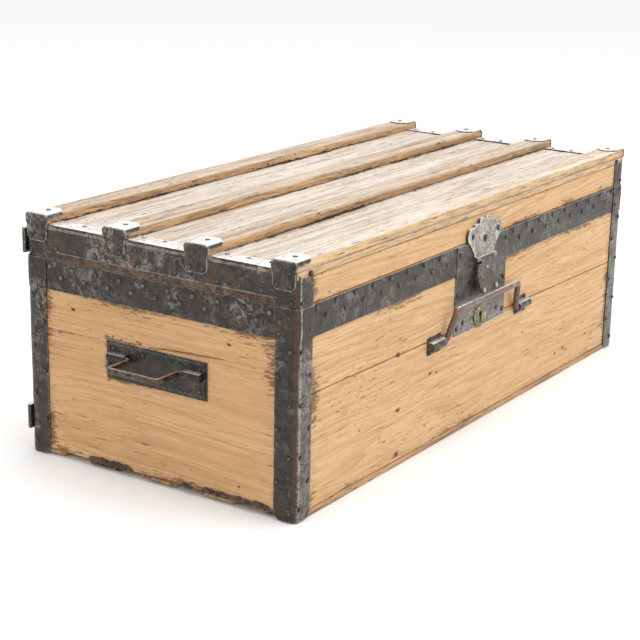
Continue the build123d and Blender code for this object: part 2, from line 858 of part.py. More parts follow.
def end_bail(side_x):
    """An end handle, standing straight out from its plate."""
    origin = (side_x * (wood_x + handle_axis_proud), 0, handle_axis_height)
    plane = Plane(origin=origin, x_dir=(0, side_x, 0), z_dir=(0, 0, -1))
    foot = handle_tunnel_end + 0.5
    points = [
        (-foot, 0),
        (-handle_corner, 0),
        (-handle_corner, handle_reach),
        (handle_corner, handle_reach),
        (handle_corner, 0),
        (foot, 0),
    ]
    return bent_rod(points, handle_radius, handle_bend, plane)


# Nails

def nail_head(radius, rise):
    """A domed head, standing on the XY plane."""
    ball_radius = (radius * radius + rise * rise) / (2 * rise)
    ball = Pos(0, 0, rise - ball_radius) * Sphere(ball_radius)
    return ball & Pos(0, 0, rise / 2) * Box(2 * radius + 1, 2 * radius + 1, rise)


big_nail = nail_head(nail_radius, nail_rise)
small_nail = nail_head(small_nail_radius, small_nail_rise)


def nail_on(face, across, height, proud, head=big_nail):
    """A nail on a face: across runs along X on the front and back, along Y on the ends."""
    places = {
        "front": ((across, -wood_y - proud, height), (0, -1, 0)),
        "rear": ((across, wood_y + proud, height), (0, 1, 0)),
        "left": ((-wood_x - proud, across, height), (-1, 0, 0)),
        "right": ((wood_x + proud, across, height), (1, 0, 0)),
        "top": ((across, height, slat_base + proud), (0, 0, 1)),
    }
    origin, normal = places[face]
    return Plane(origin=origin, z_dir=normal) * head


def spread(half, pitch):
    """Even places at about a pitch, symmetrical about the middle."""
    count = max(1, int(2 * half // pitch))
    step = 2 * half / count
    return [-half + i * step for i in range(count + 1)]


def band_nails():
    """Two staggered rows round the band, clear of the lock plate and the hinges."""
    upper, lower = body_top - band_upper_row, body_top - band_lower_row
    long_half = trunk_length / 2 - angle_flange - 8
    places = spread(long_half, front_nail_pitch)
    shift = (places[1] - places[0]) / 2
    nails = []
    for x in places:
        for across, height in ((x, upper), (x + shift, lower)):
            if across > long_half:
                continue
            if abs(across - lock_x) > lock_plate_width / 2 + nail_radius + 1:
                nails.append(nail_on("front", across, height, sheet))
            if abs(abs(across) - hinge_offset) > hinge_width / 2 + nail_radius + 1:
                nails.append(nail_on("rear", across, height, sheet))
    end_half = trunk_width / 2 - angle_flange - 8
    ends = spread(end_half, end_nail_pitch)
    shift = (ends[1] - ends[0]) / 2
    for face, _ in end_sides():
        nails += [nail_on(face, y, upper - 4, sheet) for y in ends]
        nails += [nail_on(face, y + shift, lower - 3, sheet) for y in ends[:-1]]
    return nails


def flange_nails(z0, z1, pitch, proud):
    """Nails down both edges of the corner angles' flanges."""
    heights = spread((z1 - z0) / 2, pitch)
    middle = (z0 + z1) / 2
    nails = []
    for _, side_x, side_y in corners():
        long_face = "front" if side_y < 0 else "rear"
        end_name = "left" if side_x < 0 else "right"
        for i, height in enumerate(heights):
            inset = flange_far_row if i % 2 else flange_near_row
            x = side_x * (trunk_length / 2 - inset)
            y = side_y * (trunk_width / 2 - inset)
            on_batten = long_face == "rear" and behind_batten(middle + height)
            if not on_batten:
                nails.append(nail_on(long_face, x, middle + height, proud, small_nail))
            nails.append(nail_on(end_name, y, middle + height, proud, small_nail))
    return nails


def behind_batten(height):
    """True where a rear batten covers the corner angle."""
    spans = (lower_batten_base, lid_base + batten_lift)
    reach = small_nail_radius + 2 * cap_sheet
    return any(base - reach < height < base + batten_height + reach for base in spans)


def wrap_nails():
    """Four nails on each corner wrap."""
    nails = []
    proud = sheet + wrap_sheet
    for _, side_x, side_y in corners():
        long_face = "front" if side_y < 0 else "rear"
        end_name = "left" if side_x < 0 else "right"
        for inset, drop in ((12.0, 8.0), (27.0, 30.0)):
            x = side_x * (trunk_length / 2 - inset)
            y = side_y * (trunk_width / 2 - inset)
            nails.append(nail_on(long_face, x, body_top - drop, proud, small_nail))
            nails.append(nail_on(end_name, y, body_top - drop - 4, proud, small_nail))
    return nails


def lock_nails():
    """Nails round the lock plate and on the bail's brackets."""
    edge = lock_plate_width / 2 - 7
    nails = []
    for side in (-1, 1):
        outer, inner = lock_x + side * edge, lock_x + side * (edge - escutcheon_width / 2)
        nails.append(nail_on("front", outer, lock_plate_base + 10, sheet, small_nail))
        nails.append(nail_on("front", inner, lock_plate_base + 16, sheet, small_nail))
        nails.append(nail_on("front", outer, bolt_z, sheet, small_nail))
        nails.append(nail_on("front", outer, body_top - 12, 2 * sheet + fit, small_nail))
        centre = side * (bail_foot_end - bracket_length / 2 - 1)
        for across in (-12, 12):
            for up in (-1, 1):
                height = bail_pivot_height + up * (bracket_height / 2 - 3.2)
                nails.append(nail_on("front", lock_x + centre + across, height, sheet, small_nail))
    return nails


def hinge_nails(height, proud):
    """Three nails across each hinge leaf, at a height."""
    reach = hinge_width / 2 - 8
    places = [side * hinge_offset + shift for side in (-1, 1) for shift in (-reach, 0, reach)]
    return [nail_on("rear", x, height, proud, small_nail) for x in places]


def batten_nails(base, spans):
    """Nails along the middle of a rear batten."""
    nails = []
    for start, end in spans:
        half = (end - start) / 2 - cap_length - 12
        middle = (start + end) / 2
        height = base + batten_height / 2
        for shift in spread(half, batten_nail_pitch):
            nails.append(nail_on("rear", middle + shift, height, batten_proud, small_nail))
    return nails


def hasp_plate_nails():
    """The two nails in the hasp plate's ears and the rivet in its middle."""
    proud = hasp_plate_back + hasp_plate_sheet
    ears = [nail_on("front", lock_x + side * crown_nail_x, seam_height + ear_rise, proud) for side in (-1, 1)]
    return ears + [nail_on("front", lock_x, seam_height, proud)]


def handle_nails():
    """Nails at the corners and the middle of each end handle's plate."""
    across = handle_plate_width / 2 - handle_nail_inset
    rise = handle_plate_height / 2 - handle_nail_inset
    nails = []
    for face, _ in end_sides():
        for y in (-across, -handle_nail_middle, handle_nail_middle, across):
            nails.append(nail_on(face, y, handle_plate_centre + rise + 1, sheet, small_nail))
        for y in (-across, across):
            nails.append(nail_on(face, y, handle_plate_centre - rise, sheet, small_nail))
    return nails


def lid_nails():
    """Nails of the lid's plates, clamps and corner angles."""
    nails = []
    centres = slat_centres()
    leg_row = trunk_height - clamp_leg_drop + 7
    for face, side_x in end_sides():
        for centre in centres:
            for shift in (-10, 10):
                nails.append(nail_on(face, centre + shift, leg_row, 2 * sheet, small_nail))
            x = side_x * (wood_x - clamp_reach / 2)
            nails.append(nail_on("top", x, centre, slat_height + sheet, small_nail))
        for near, far in zip(centres, centres[1:]):
            for part in (0.25, 0.5, 0.75):
                y = near + (far - near) * part
                nails.append(nail_on("top", side_x * (wood_x - fold_length + 8), y, sheet, small_nail))
                nails.append(nail_on(face, y, lid_base + rim_height + 7, sheet, small_nail))
    nails += flange_nails(lid_base + 6, slat_base - 5, lid_angle_nail_pitch, sheet)
    return [n for n in nails if not under_clamp(n)]


def under_clamp(nail):
    """True for a corner-angle nail that a clamp's leg would cover."""
    centre = nail.center()
    on_end = abs(centre.X) > wood_x + sheet - 1
    in_front = wood_y - slat_width - 2 < abs(centre.Y)
    high = centre.Z > trunk_height - clamp_leg_drop - small_nail_radius
    return on_end and in_front and high and abs(centre.X) < wood_x + 2 * sheet


def write_body():
    """Writes the nodes of the fixed body."""
    mortise = lock_mortise()
    save("front_board_lower", wall_board(-1, runner_height, front_joint_height) - mortise)
    save("front_board_upper", wall_board(-1, front_joint_height, body_top) - mortise)
    save("back_board_lower", wall_board(1, runner_height, back_joint_height))
    save("back_board_upper", wall_board(1, back_joint_height, body_top))
    for name, side_x in end_sides():
        save(f"{name}_end_board", end_board(side_x, board, runner_height, body_top))
        save(f"band_{name}", end_band(side_x))
        save(f"handle_plate_{name}", handle_plate(side_x))
        save(f"end_handle_{name}", end_bail(side_x))
    for name, side_x, side_y in corners():
        save(f"corner_angle_{name}", corner_angle(side_x, side_y))
    save("floor_boards", *floor_boards())
    save("floor_runners", *[runner(y) for y in runner_centres()])
    save("dust_lip", *dust_lip())
    save("band_front", long_band(-1))
    save("band_rear", long_band(1))
    save("corner_wraps", *[corner_wrap(x, y) for _, x, y in corners()])
    save("end_bindings", *end_binding(-1), *end_binding(1))
    end = trunk_length / 2 - cap_sheet
    save("rear_batten", *batten(lower_batten_base, ((-end, end),)))
    save("rear_batten_caps", *[batten_cap(s, lower_batten_base) for s in (-1, 1)])
    hinges = (-hinge_offset, hinge_offset)
    save("hinge_leaves_body", *[hinge_body_leaf(x) for x in hinges])
    save("hinge_pins", *[hinge_pin(x) for x in hinges])
    leaf_middle = seam_height - hinge_radius - 1 - hinge_leaf_height / 2
    nails = band_nails() + body_corner_nails() + wrap_nails() + lock_nails() + handle_nails()
    nails += hinge_nails(leaf_middle - 4, sheet + hinge_leaf)
    save("body_nails", *nails, *batten_nails(lower_batten_base, ((-end, end),)))


def body_corner_nails():
    """Nails of the body's corner angles."""
    return flange_nails(18, band_base - 12, angle_nail_pitch, angle_sheet)


def write_lock():
    """Writes the nodes of the lock set and the front handle."""
    save("lock_plate", lock_plate())
    save("lock_case", lock_case())
    save("lock_bolt", lock_bolt())
    save("keyhole_escutcheon", escutcheon())
    save("hasp_plate", hasp_plate())
    save("hasp_pin", hasp_pin())
    save("hasp", hasp())
    save("front_bail", front_bail())
    save("bail_brackets", bail_bracket(-1), bail_bracket(1))


def write_lid():
    """Writes the nodes of the lid."""
    save("lid_front_board", lid_wall(-1))
    save("lid_back_board", lid_wall(1))
    edges = (-trunk_width / 2, *plank_joints, trunk_width / 2)
    for name, y0, y1 in zip(("front", "middle", "rear"), edges, edges[1:]):
        save(f"lid_plank_{name}", lid_plank(y0, y1))
    for number, centre in enumerate(slat_centres(), start=1):
        save(f"lid_slat_{number}", slat(centre))
    for name, side_x in end_sides():
        save(f"lid_{name}_board", end_board(side_x, lid_board, lid_base, plank_base))
        save(f"lid_end_plate_{name}", lid_end_plate(side_x))
        save(f"slat_clamps_{name}", *[slat_clamp(side_x, y) for y in slat_centres()])
    save("lid_rims", lid_rim(-1), lid_rim(1))
    save("lid_corner_angles", *[lid_corner_angle(x, y) for _, x, y in corners()])
    batten_base = lid_base + batten_lift
    save("lid_batten", *batten(batten_base, lid_batten_spans()))
    save("lid_batten_caps", *[batten_cap(s, batten_base) for s in (-1, 1)])
    save("hinge_leaves_lid", *[hinge_lid_leaf(x) for x in (-hinge_offset, hinge_offset)])
    leaf_middle = seam_height + hinge_radius + 1 + hinge_leaf_height / 2
    nails = lid_nails() + hasp_plate_nails() + hinge_nails(leaf_middle + 4, hinge_leaf)
    save("lid_nails", *nails, *batten_nails(batten_base, lid_batten_spans()))


os.makedirs("parts", exist_ok=True)
write_body()
write_lock()
write_lid()
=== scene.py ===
from math import copysign, cos, exp, hypot, pi, radians, sin
from random import Random

import bmesh
import bpy
from mathutils import Matrix, Vector, noise


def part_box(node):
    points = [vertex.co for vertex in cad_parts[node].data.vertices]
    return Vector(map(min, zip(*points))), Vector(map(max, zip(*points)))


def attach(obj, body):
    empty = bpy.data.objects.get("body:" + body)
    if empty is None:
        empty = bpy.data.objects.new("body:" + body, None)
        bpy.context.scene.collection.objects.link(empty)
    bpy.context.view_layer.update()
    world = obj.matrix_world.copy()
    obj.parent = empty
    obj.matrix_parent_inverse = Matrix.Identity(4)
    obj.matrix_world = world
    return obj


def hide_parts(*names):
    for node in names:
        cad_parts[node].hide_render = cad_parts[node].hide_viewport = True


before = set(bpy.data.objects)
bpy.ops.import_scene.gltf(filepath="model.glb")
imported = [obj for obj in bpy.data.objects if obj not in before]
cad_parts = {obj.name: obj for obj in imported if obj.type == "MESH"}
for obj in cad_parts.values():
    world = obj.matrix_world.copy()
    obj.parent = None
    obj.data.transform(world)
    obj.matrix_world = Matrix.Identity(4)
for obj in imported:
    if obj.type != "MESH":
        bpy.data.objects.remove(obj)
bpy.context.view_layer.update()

# Steamer trunk, seen from its left front corner. Lengths are in metres in the CAD frame: X along the trunk,
# -Y out of the front, Z up. Every place comes from the boxes of the CAD nodes.
MM = 0.001


# Places read from the frame

def low(node):
    """The lowest corner of a CAD node."""
    return Vector(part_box(node)[0])


def high(node):
    """The highest corner of a CAD node."""
    return Vector(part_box(node)[1])


def mid(node):
    """The middle of a CAD node."""
    return (low(node) + high(node)) / 2


END_X = high("right_end_board").x
FRONT_Y = low("front_board_lower").y
REAR_Y = high("back_board_lower").y
BODY_TOP = high("front_board_upper").z
BAND_BASE = low("band_front").z
LID_BASE = low("lid_front_board").z
PLANK_BASE = low("lid_plank_front").z
PLANK_TOP = high("lid_plank_front").z
SLAT_TOP = high("lid_slat_1").z
RUNNER_TOP = high("floor_runners").z
SHEET = FRONT_Y - low("band_front").y
ANGLE_SHEET = low("left_end_board").x - low("corner_angle_front_left").x
FLANGE = high("corner_angle_front_left").x - low("corner_angle_front_left").x
CORNER_R = 6.5 * MM
JOINT_GAP = 0.45 * MM
CUT_REACH = 10 * MM
SLATS = ("lid_slat_1", "lid_slat_2", "lid_slat_3", "lid_slat_4")


# Noise and small helpers

def ripple(point, size, seed):
    """Smooth noise between about -1 and 1; size is the distance over which it changes."""
    shift = Vector((seed * 7.31, seed * 3.17, seed * 5.73))
    return noise.noise(Vector(point) / size + shift)


def smooth(t):
    """An S-shaped step from 0 to 1."""
    t = min(1.0, max(0.0, t))
    return t * t * (3 - 2 * t)


def lerp(a, b, t):
    """The value a share t of the way from a to b."""
    return a + (b - a) * t


def resample(path, pitch):
    """Points spaced evenly along a polyline, keeping its ends."""
    lengths = [0.0]
    for a, b in zip(path, path[1:]):
        lengths.append(lengths[-1] + (Vector(b) - Vector(a)).length)
    total = lengths[-1]
    count = max(2, int(round(total / pitch)))
    points = []
    k = 0
    for i in range(count + 1):
        at = total * i / count
        while k < len(path) - 2 and lengths[k + 1] < at:
            k += 1
        span = lengths[k + 1] - lengths[k]
        t = 0.0 if span == 0 else (at - lengths[k]) / span
        points.append(Vector(path[k]).lerp(Vector(path[k + 1]), t))
    return points, total


def arc(centre, radius, start, end, steps=6):
    """Points of an arc in the plane, angles in degrees."""
    angles = [radians(lerp(start, end, i / steps)) for i in range(steps + 1)]
    return [(centre[0] + radius * cos(a), centre[1] + radius * sin(a)) for a in angles]


def make_object(name, verts, faces, body, replaces, edge, angle):
    """A mesh on a body; each vertex keeps its distance to the nearest edge, which its material wears; the
    nails' finish also paints shade and a highlight from it.
    """
    mesh = bpy.data.meshes.new(name)
    mesh.from_pydata([tuple(v) for v in verts], [], faces)
    mesh.validate()
    obj = bpy.data.objects.new(name, mesh)
    bpy.context.collection.objects.link(obj)
    layer = mesh.attributes.new("edge_distance", "FLOAT", "POINT")
    layer.data.foreach_set("value", edge)
    mesh.shade_smooth()
    mesh.set_sharp_from_angle(angle=radians(angle))
    tidy_normals(mesh)
    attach(obj, body)
    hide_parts(*replaces)
    return obj


def tidy_normals(mesh):
    """Turns all faces outward."""
    work = bmesh.new()
    work.from_mesh(mesh)
    bmesh.ops.recalc_face_normals(work, faces=work.faces)
    work.to_mesh(mesh)
    work.free()


def bevel(obj, width, segments=2, angle=40):
    """Rounds the sharp edges of an object."""
    mod = obj.modifiers.new("rounded_edges", "BEVEL")
    mod.width = width
    mod.segments = segments
    mod.limit_method = "ANGLE"
    mod.angle_limit = radians(angle)
    mod.harden_normals = False
    return obj


# Builders

class Solid:
    """Vertices and faces that grow piece by piece into one mesh."""

    def __init__(self):
        self.verts = []
        self.faces = []
        self.edge = []

    def add_grid(self, outer, inner, distance):
        """A sheet between an outer and an inner grid of points, closed round its rim."""
        rows, cols = len(outer), len(outer[0])
        base = len(self.verts)
        for grid in (outer, inner):
            for row in grid:
                self.verts.extend(row)
        for row in distance:
            self.edge.extend(row)
        for row in distance:
            self.edge.extend(row)
        half = rows * cols

        def at(layer, r, c):
            return base + layer * half + r * cols + c

        for r in range(rows - 1):
            for c in range(cols - 1):
                self.faces.append((at(0, r, c), at(0, r, c + 1), at(0, r + 1, c + 1), at(0, r + 1, c)))
                self.faces.append((at(1, r, c), at(1, r + 1, c), at(1, r + 1, c + 1), at(1, r, c + 1)))
        for r in range(rows - 1):
            for c in (0, cols - 1):
                self.faces.append((at(0, r, c), at(0, r + 1, c), at(1, r + 1, c), at(1, r, c)))
        for c in range(cols - 1):
            for r in (0, rows - 1):
                self.faces.append((at(0, r, c), at(0, r, c + 1), at(1, r, c + 1), at(1, r, c)))

    def add_loft(self, rings, distance):
        """A closed bar through rings of points, capped at both ends."""
        base = len(self.verts)
        count = len(rings[0])
        for ring in rings:
            self.verts.extend(ring)
            self.edge.extend(distance)
        for r in range(len(rings) - 1):
            for c in range(count):
                n = (c + 1) % count
                a, b = base + r * count, base + (r + 1) * count
                self.faces.append((a + c, a + n, b + n, b + c))
        self.faces.append(tuple(base + c for c in reversed(range(count))))
        last = base + (len(rings) - 1) * count
        self.faces.append(tuple(last + c for c in range(count)))

    def build(self, name, slot, body, replaces, angle=35):
        return make_object(name, self.verts, self.faces, body, replaces, self.edge, angle)


def skin(solid, path, place, lo, hi, thick, seed, dent=0.35 * MM, wobble=0.5 * MM, pitch=8 * MM):
    """A thin sheet: a path in a plane, swept between two height functions, with dents and uneven edges.

    The path is the line of the sheet's inner face with its outward side on the left; place maps
    plane coordinates and a height to the frame.
    """
    points, total = resample(path, pitch)
    last = len(points) - 1
    normals = []
    for i, p in enumerate(points):
        a, b = points[max(0, i - 1)], points[min(last, i + 1)]
        d = (b - a).normalized()
        normals.append(Vector((-d.y, d.x)))
    spans = [hi(total * i / last) - lo(total * i / last) for i in range(last + 1)]
    rows = max(3, int(round(max(spans) / pitch)) + 1)
    outer, inner, distance = [], [], []
    for i, p in enumerate(points):
        s = total * i / last
        end_slack = 0.0
        if i in (0, last):
            end_slack = 1.0
        row_out, row_in, row_d = [], [], []
        base, top = lo(s), hi(s)
        lo_w = wobble * ripple(place(p.x, p.y, base), 25 * MM, seed + 1)
        hi_w = wobble * ripple(place(p.x, p.y, top), 25 * MM, seed + 2)
        along = (points[min(last, i + 1)] - points[max(0, i - 1)]).normalized()
        for j in range(rows):
            t = j / (rows - 1)
            h = lerp(base + abs(lo_w), top - abs(hi_w), t)
            edge = min(s, total - s, h - base, top - h)
            shift = end_slack * wobble * abs(ripple((p.x, p.y, h), 20 * MM, seed + 3))
            q = p + along * (shift if i == 0 else -shift)
            lift = dent * (0.5 + 0.5 * ripple((q.x, q.y, h), 45 * MM, seed)) * smooth(edge / (12 * MM))
            lift += 0.35 * dent * ripple((q.x, q.y, h), 14 * MM, seed + 5) * smooth(edge / (6 * MM))
            out = q + normals[i] * (thick + lift)
            row_out.append(Vector(place(out.x, out.y, h)))
            row_in.append(Vector(place(q.x, q.y, h)))
            row_d.append(max(0.0, edge))
        outer.append(row_out)
        inner.append(row_in)
        distance.append(row_d)
    solid.add_grid(outer, inner, distance)


def rounded_profile(a0, a1, b0, b1, radii, step=9 * MM, nominal=None):
    """A rectangle with its corners rounded: radii for the corners low-low, high-low, high-high, low-high.

    nominal is the size that sets how many points the sides get, so that profiles of one bar match.
    """
    r0, r1, r2, r3 = radii
    points = arc((a0 + r0, b0 + r0), r0, 180, 270, 3)
    points += arc((a1 - r1, b0 + r1), r1, 270, 360, 3)
    points += arc((a1 - r2, b1 - r2), r2, 0, 90, 3)
    points += arc((a0 + r3, b1 - r3), r3, 90, 180, 3)
    wide, tall = nominal or (a1 - a0, b1 - b0)
    across, upright = int(wide / step), int(tall / step)
    parts = {3: across, 7: upright, 11: across, 15: upright}
    dense = []
    for i, (a, b) in enumerate(zip(points, points[1:] + points[:1])):
        dense.append(a)
        count = parts.get(i, 0)
        for k in range(1, count + 1):
            t = k / (count + 1)
            dense.append((lerp(a[0], b[0], t), lerp(a[1], b[1], t)))
    return dense


# Planes to build in

def plan(a, b, h):
    """Plan view: a is X, b is Y, h is Z."""
    return (a, b, h)


def section_x(a, b, h):
    """Cross-section: a is Y, b is Z, h is X."""
    return (h, a, b)


def section_y(a, b, h):
    """Side view: a is X, b is Z, h is Y."""
    return (a, h, b)


# Materials

def tone(colour):
    """A colour given as a screen shows it, 0 to 255, turned to linear light."""
    return tuple(((c / 255 + 0.055) / 1.055) ** 2.4 for c in colour)


def darker(colour, share):
    """A colour with only a share of its light."""
    return tuple(c * share for c in colour)


FINISHES = {}


class Graph:
    def __init__(self, name):
        self.mat = bpy.data.materials.new(name)
        FINISHES[name] = self.mat
        self.mat.use_nodes = True
        self.tree = self.mat.node_tree
        self.tree.nodes.clear()
        self.coords = self.add("ShaderNodeTexCoord").outputs["Object"]

    def add(self, kind, inputs=None, **settings):
        node = self.tree.nodes.new(kind)
        for key, value in settings.items():
            setattr(node, key, value)
        for key, value in (inputs or {}).items():
            self.put(node.inputs[key], value)
        return node

    def put(self, socket, value):
        if isinstance(value, bpy.types.NodeSocket):
            self.tree.links.new(value, socket)
        elif isinstance(value, (tuple, list)) and len(value) == 3 and socket.type == "RGBA":
            socket.default_value = (*value, 1.0)
        else:
            socket.default_value = value

    def math(self, operation, a, b=0.0, clamp=False):
        node = self.add("ShaderNodeMath", {0: a, 1: b}, operation=operation, use_clamp=clamp)
        return node.outputs[0]

    def mul(self, a, b, clamp=False):
        return self.math("MULTIPLY", a, b, clamp)

    def plus(self, a, b):
        return self.math("ADD", a, b)

    def minus(self, a, b):
        return self.math("SUBTRACT", a, b)

    def most(self, a, b):
        return self.math("MAXIMUM", a, b)

    def vector_math(self, operation, a, b):
        return self.add("ShaderNodeVectorMath", {0: a, 1: b}, operation=operation).outputs["Value"]

    def linear(self, value, gain, base):
        """gain * value + base."""
        return self.add("ShaderNodeMath", {0: value, 1: gain, 2: base}, operation="MULTIPLY_ADD").outputs[0]

    def split(self, vector, axis):
        return self.add("ShaderNodeSeparateXYZ", {0: vector}).outputs[axis]

    def scaled(self, scale, coords=None, offset=(0, 0, 0), turn=(0, 0, 0)):
        inputs = {"Vector": coords or self.coords, "Scale": scale, "Location": offset, "Rotation": turn}
        return self.add("ShaderNodeMapping", inputs).outputs[0]

    def noise(self, scale, detail=4.0, rough=0.55, coords=None, distortion=0.0):
        inputs = {
            "Vector": coords or self.coords,
            "Scale": scale,
            "Detail": detail,
            "Roughness": rough,
            "Distortion": distortion,
        }
        return self.add("ShaderNodeTexNoise", inputs).outputs["Fac"]

    def field(self, detail, rough, scale, coords=None, offset=(0, 0, 0), turn=(0, 0, 0)):
        """Noise stretched by its own scale along each axis."""
        return self.noise(1.0, detail, rough, self.scaled(scale, coords, offset, turn))

    def ramp(self, value, low, high, a=0.0, b=1.0):
        """Maps low..high to a..b and holds the ends."""
        inputs = {"Value": value, "From Min": low, "From Max": high, "To Min": a, "To Max": b}
        node = self.add("ShaderNodeMapRange", inputs, clamp=True, interpolation_type="SMOOTHSTEP")
        return node.outputs[0]

    def mix(self, factor, a, b):
        node = self.add("ShaderNodeMix", data_type="RGBA")
        self.put(node.inputs["Factor"], factor)
        self.put(node.inputs["A"], a)
        self.put(node.inputs["B"], b)
        return node.outputs["Result"]

    def bump(self, height, strength, distance, normal=None):
        inputs = {"Height": height, "Strength": strength, "Distance": distance}
        if normal is not None:
            inputs["Normal"] = normal
        return self.add("ShaderNodeBump", inputs).outputs[0]

    def edge_distance(self):
        return self.add("ShaderNodeAttribute", attribute_name="edge_distance").outputs["Fac"]

    def sharp_edges(self, radius=1.2 * MM):
        """1 where the surface turns sharply within a small radius, such as an edge."""
        soft = self.add("ShaderNodeBevel", {"Radius": radius}, samples=4).outputs[0]
        plain = self.add("ShaderNodeNewGeometry").outputs["Normal"]
        dot = self.vector_math("DOT_PRODUCT", soft, plain)
        return self.ramp(dot, 0.985, 0.80, 0.0, 1.0)

    def finish(self, color, roughness, metallic=0.0, normal=None, specular=0.5):
        inputs = {
            "Base Color": color,
            "Roughness": roughness,
            "Metallic": metallic,
            "Specular IOR Level": specular,
        }
        shader = self.add("ShaderNodeBsdfPrincipled", inputs)
        if normal is not None:
            self.put(shader.inputs["Normal"], normal)
        output = self.add("ShaderNodeOutputMaterial")
        self.tree.links.new(shader.outputs[0], output.inputs["Surface"])
        return self.mat


def knots(g, along, across, spots, warp):
    """Dark round knots at given places, as the nearest distance to any of them."""
    nearest = 1.0
    for x, z, radius in spots:
        du = g.mul(g.minus(along, x), 0.62 / radius)
        dv = g.mul(g.minus(across, z), 1.0 / radius)
        square = g.plus(g.mul(du, du), g.mul(dv, dv))
        nearest = g.math("MINIMUM", nearest, g.mul(square, g.linear(warp, 0.9, 0.1)))
    return nearest


def near_lines(g, xyz, zones):
    """1 on the given lines, fading to 0 over their widths: (axis, place, width) each."""
    total = 0.0
    for axis, place, width in zones:
        gap = g.math("ABSOLUTE", g.minus(xyz.outputs["XYZ".index(axis)], place))
        total = g.most(g.ramp(gap, 0.0, width, 1.0, 0.0), total)
    return total


def near_box(g, xyz, box):
    """1 in and at a box's edges in Y and Z, fading to 0 over a width: (y0, y1, z0, z1, width)."""
    y0, y1, z0, z1, width = box
    gaps = []
    for axis, a, b in ((1, y0, y1), (2, z0, z1)):
        gap = g.math("ABSOLUTE", g.minus(xyz.outputs[axis], (a + b) / 2))
        gaps.append(g.minus(gap, (b - a) / 2))
    return g.ramp(g.most(*gaps), 0.0, width, 1.0, 0.0)


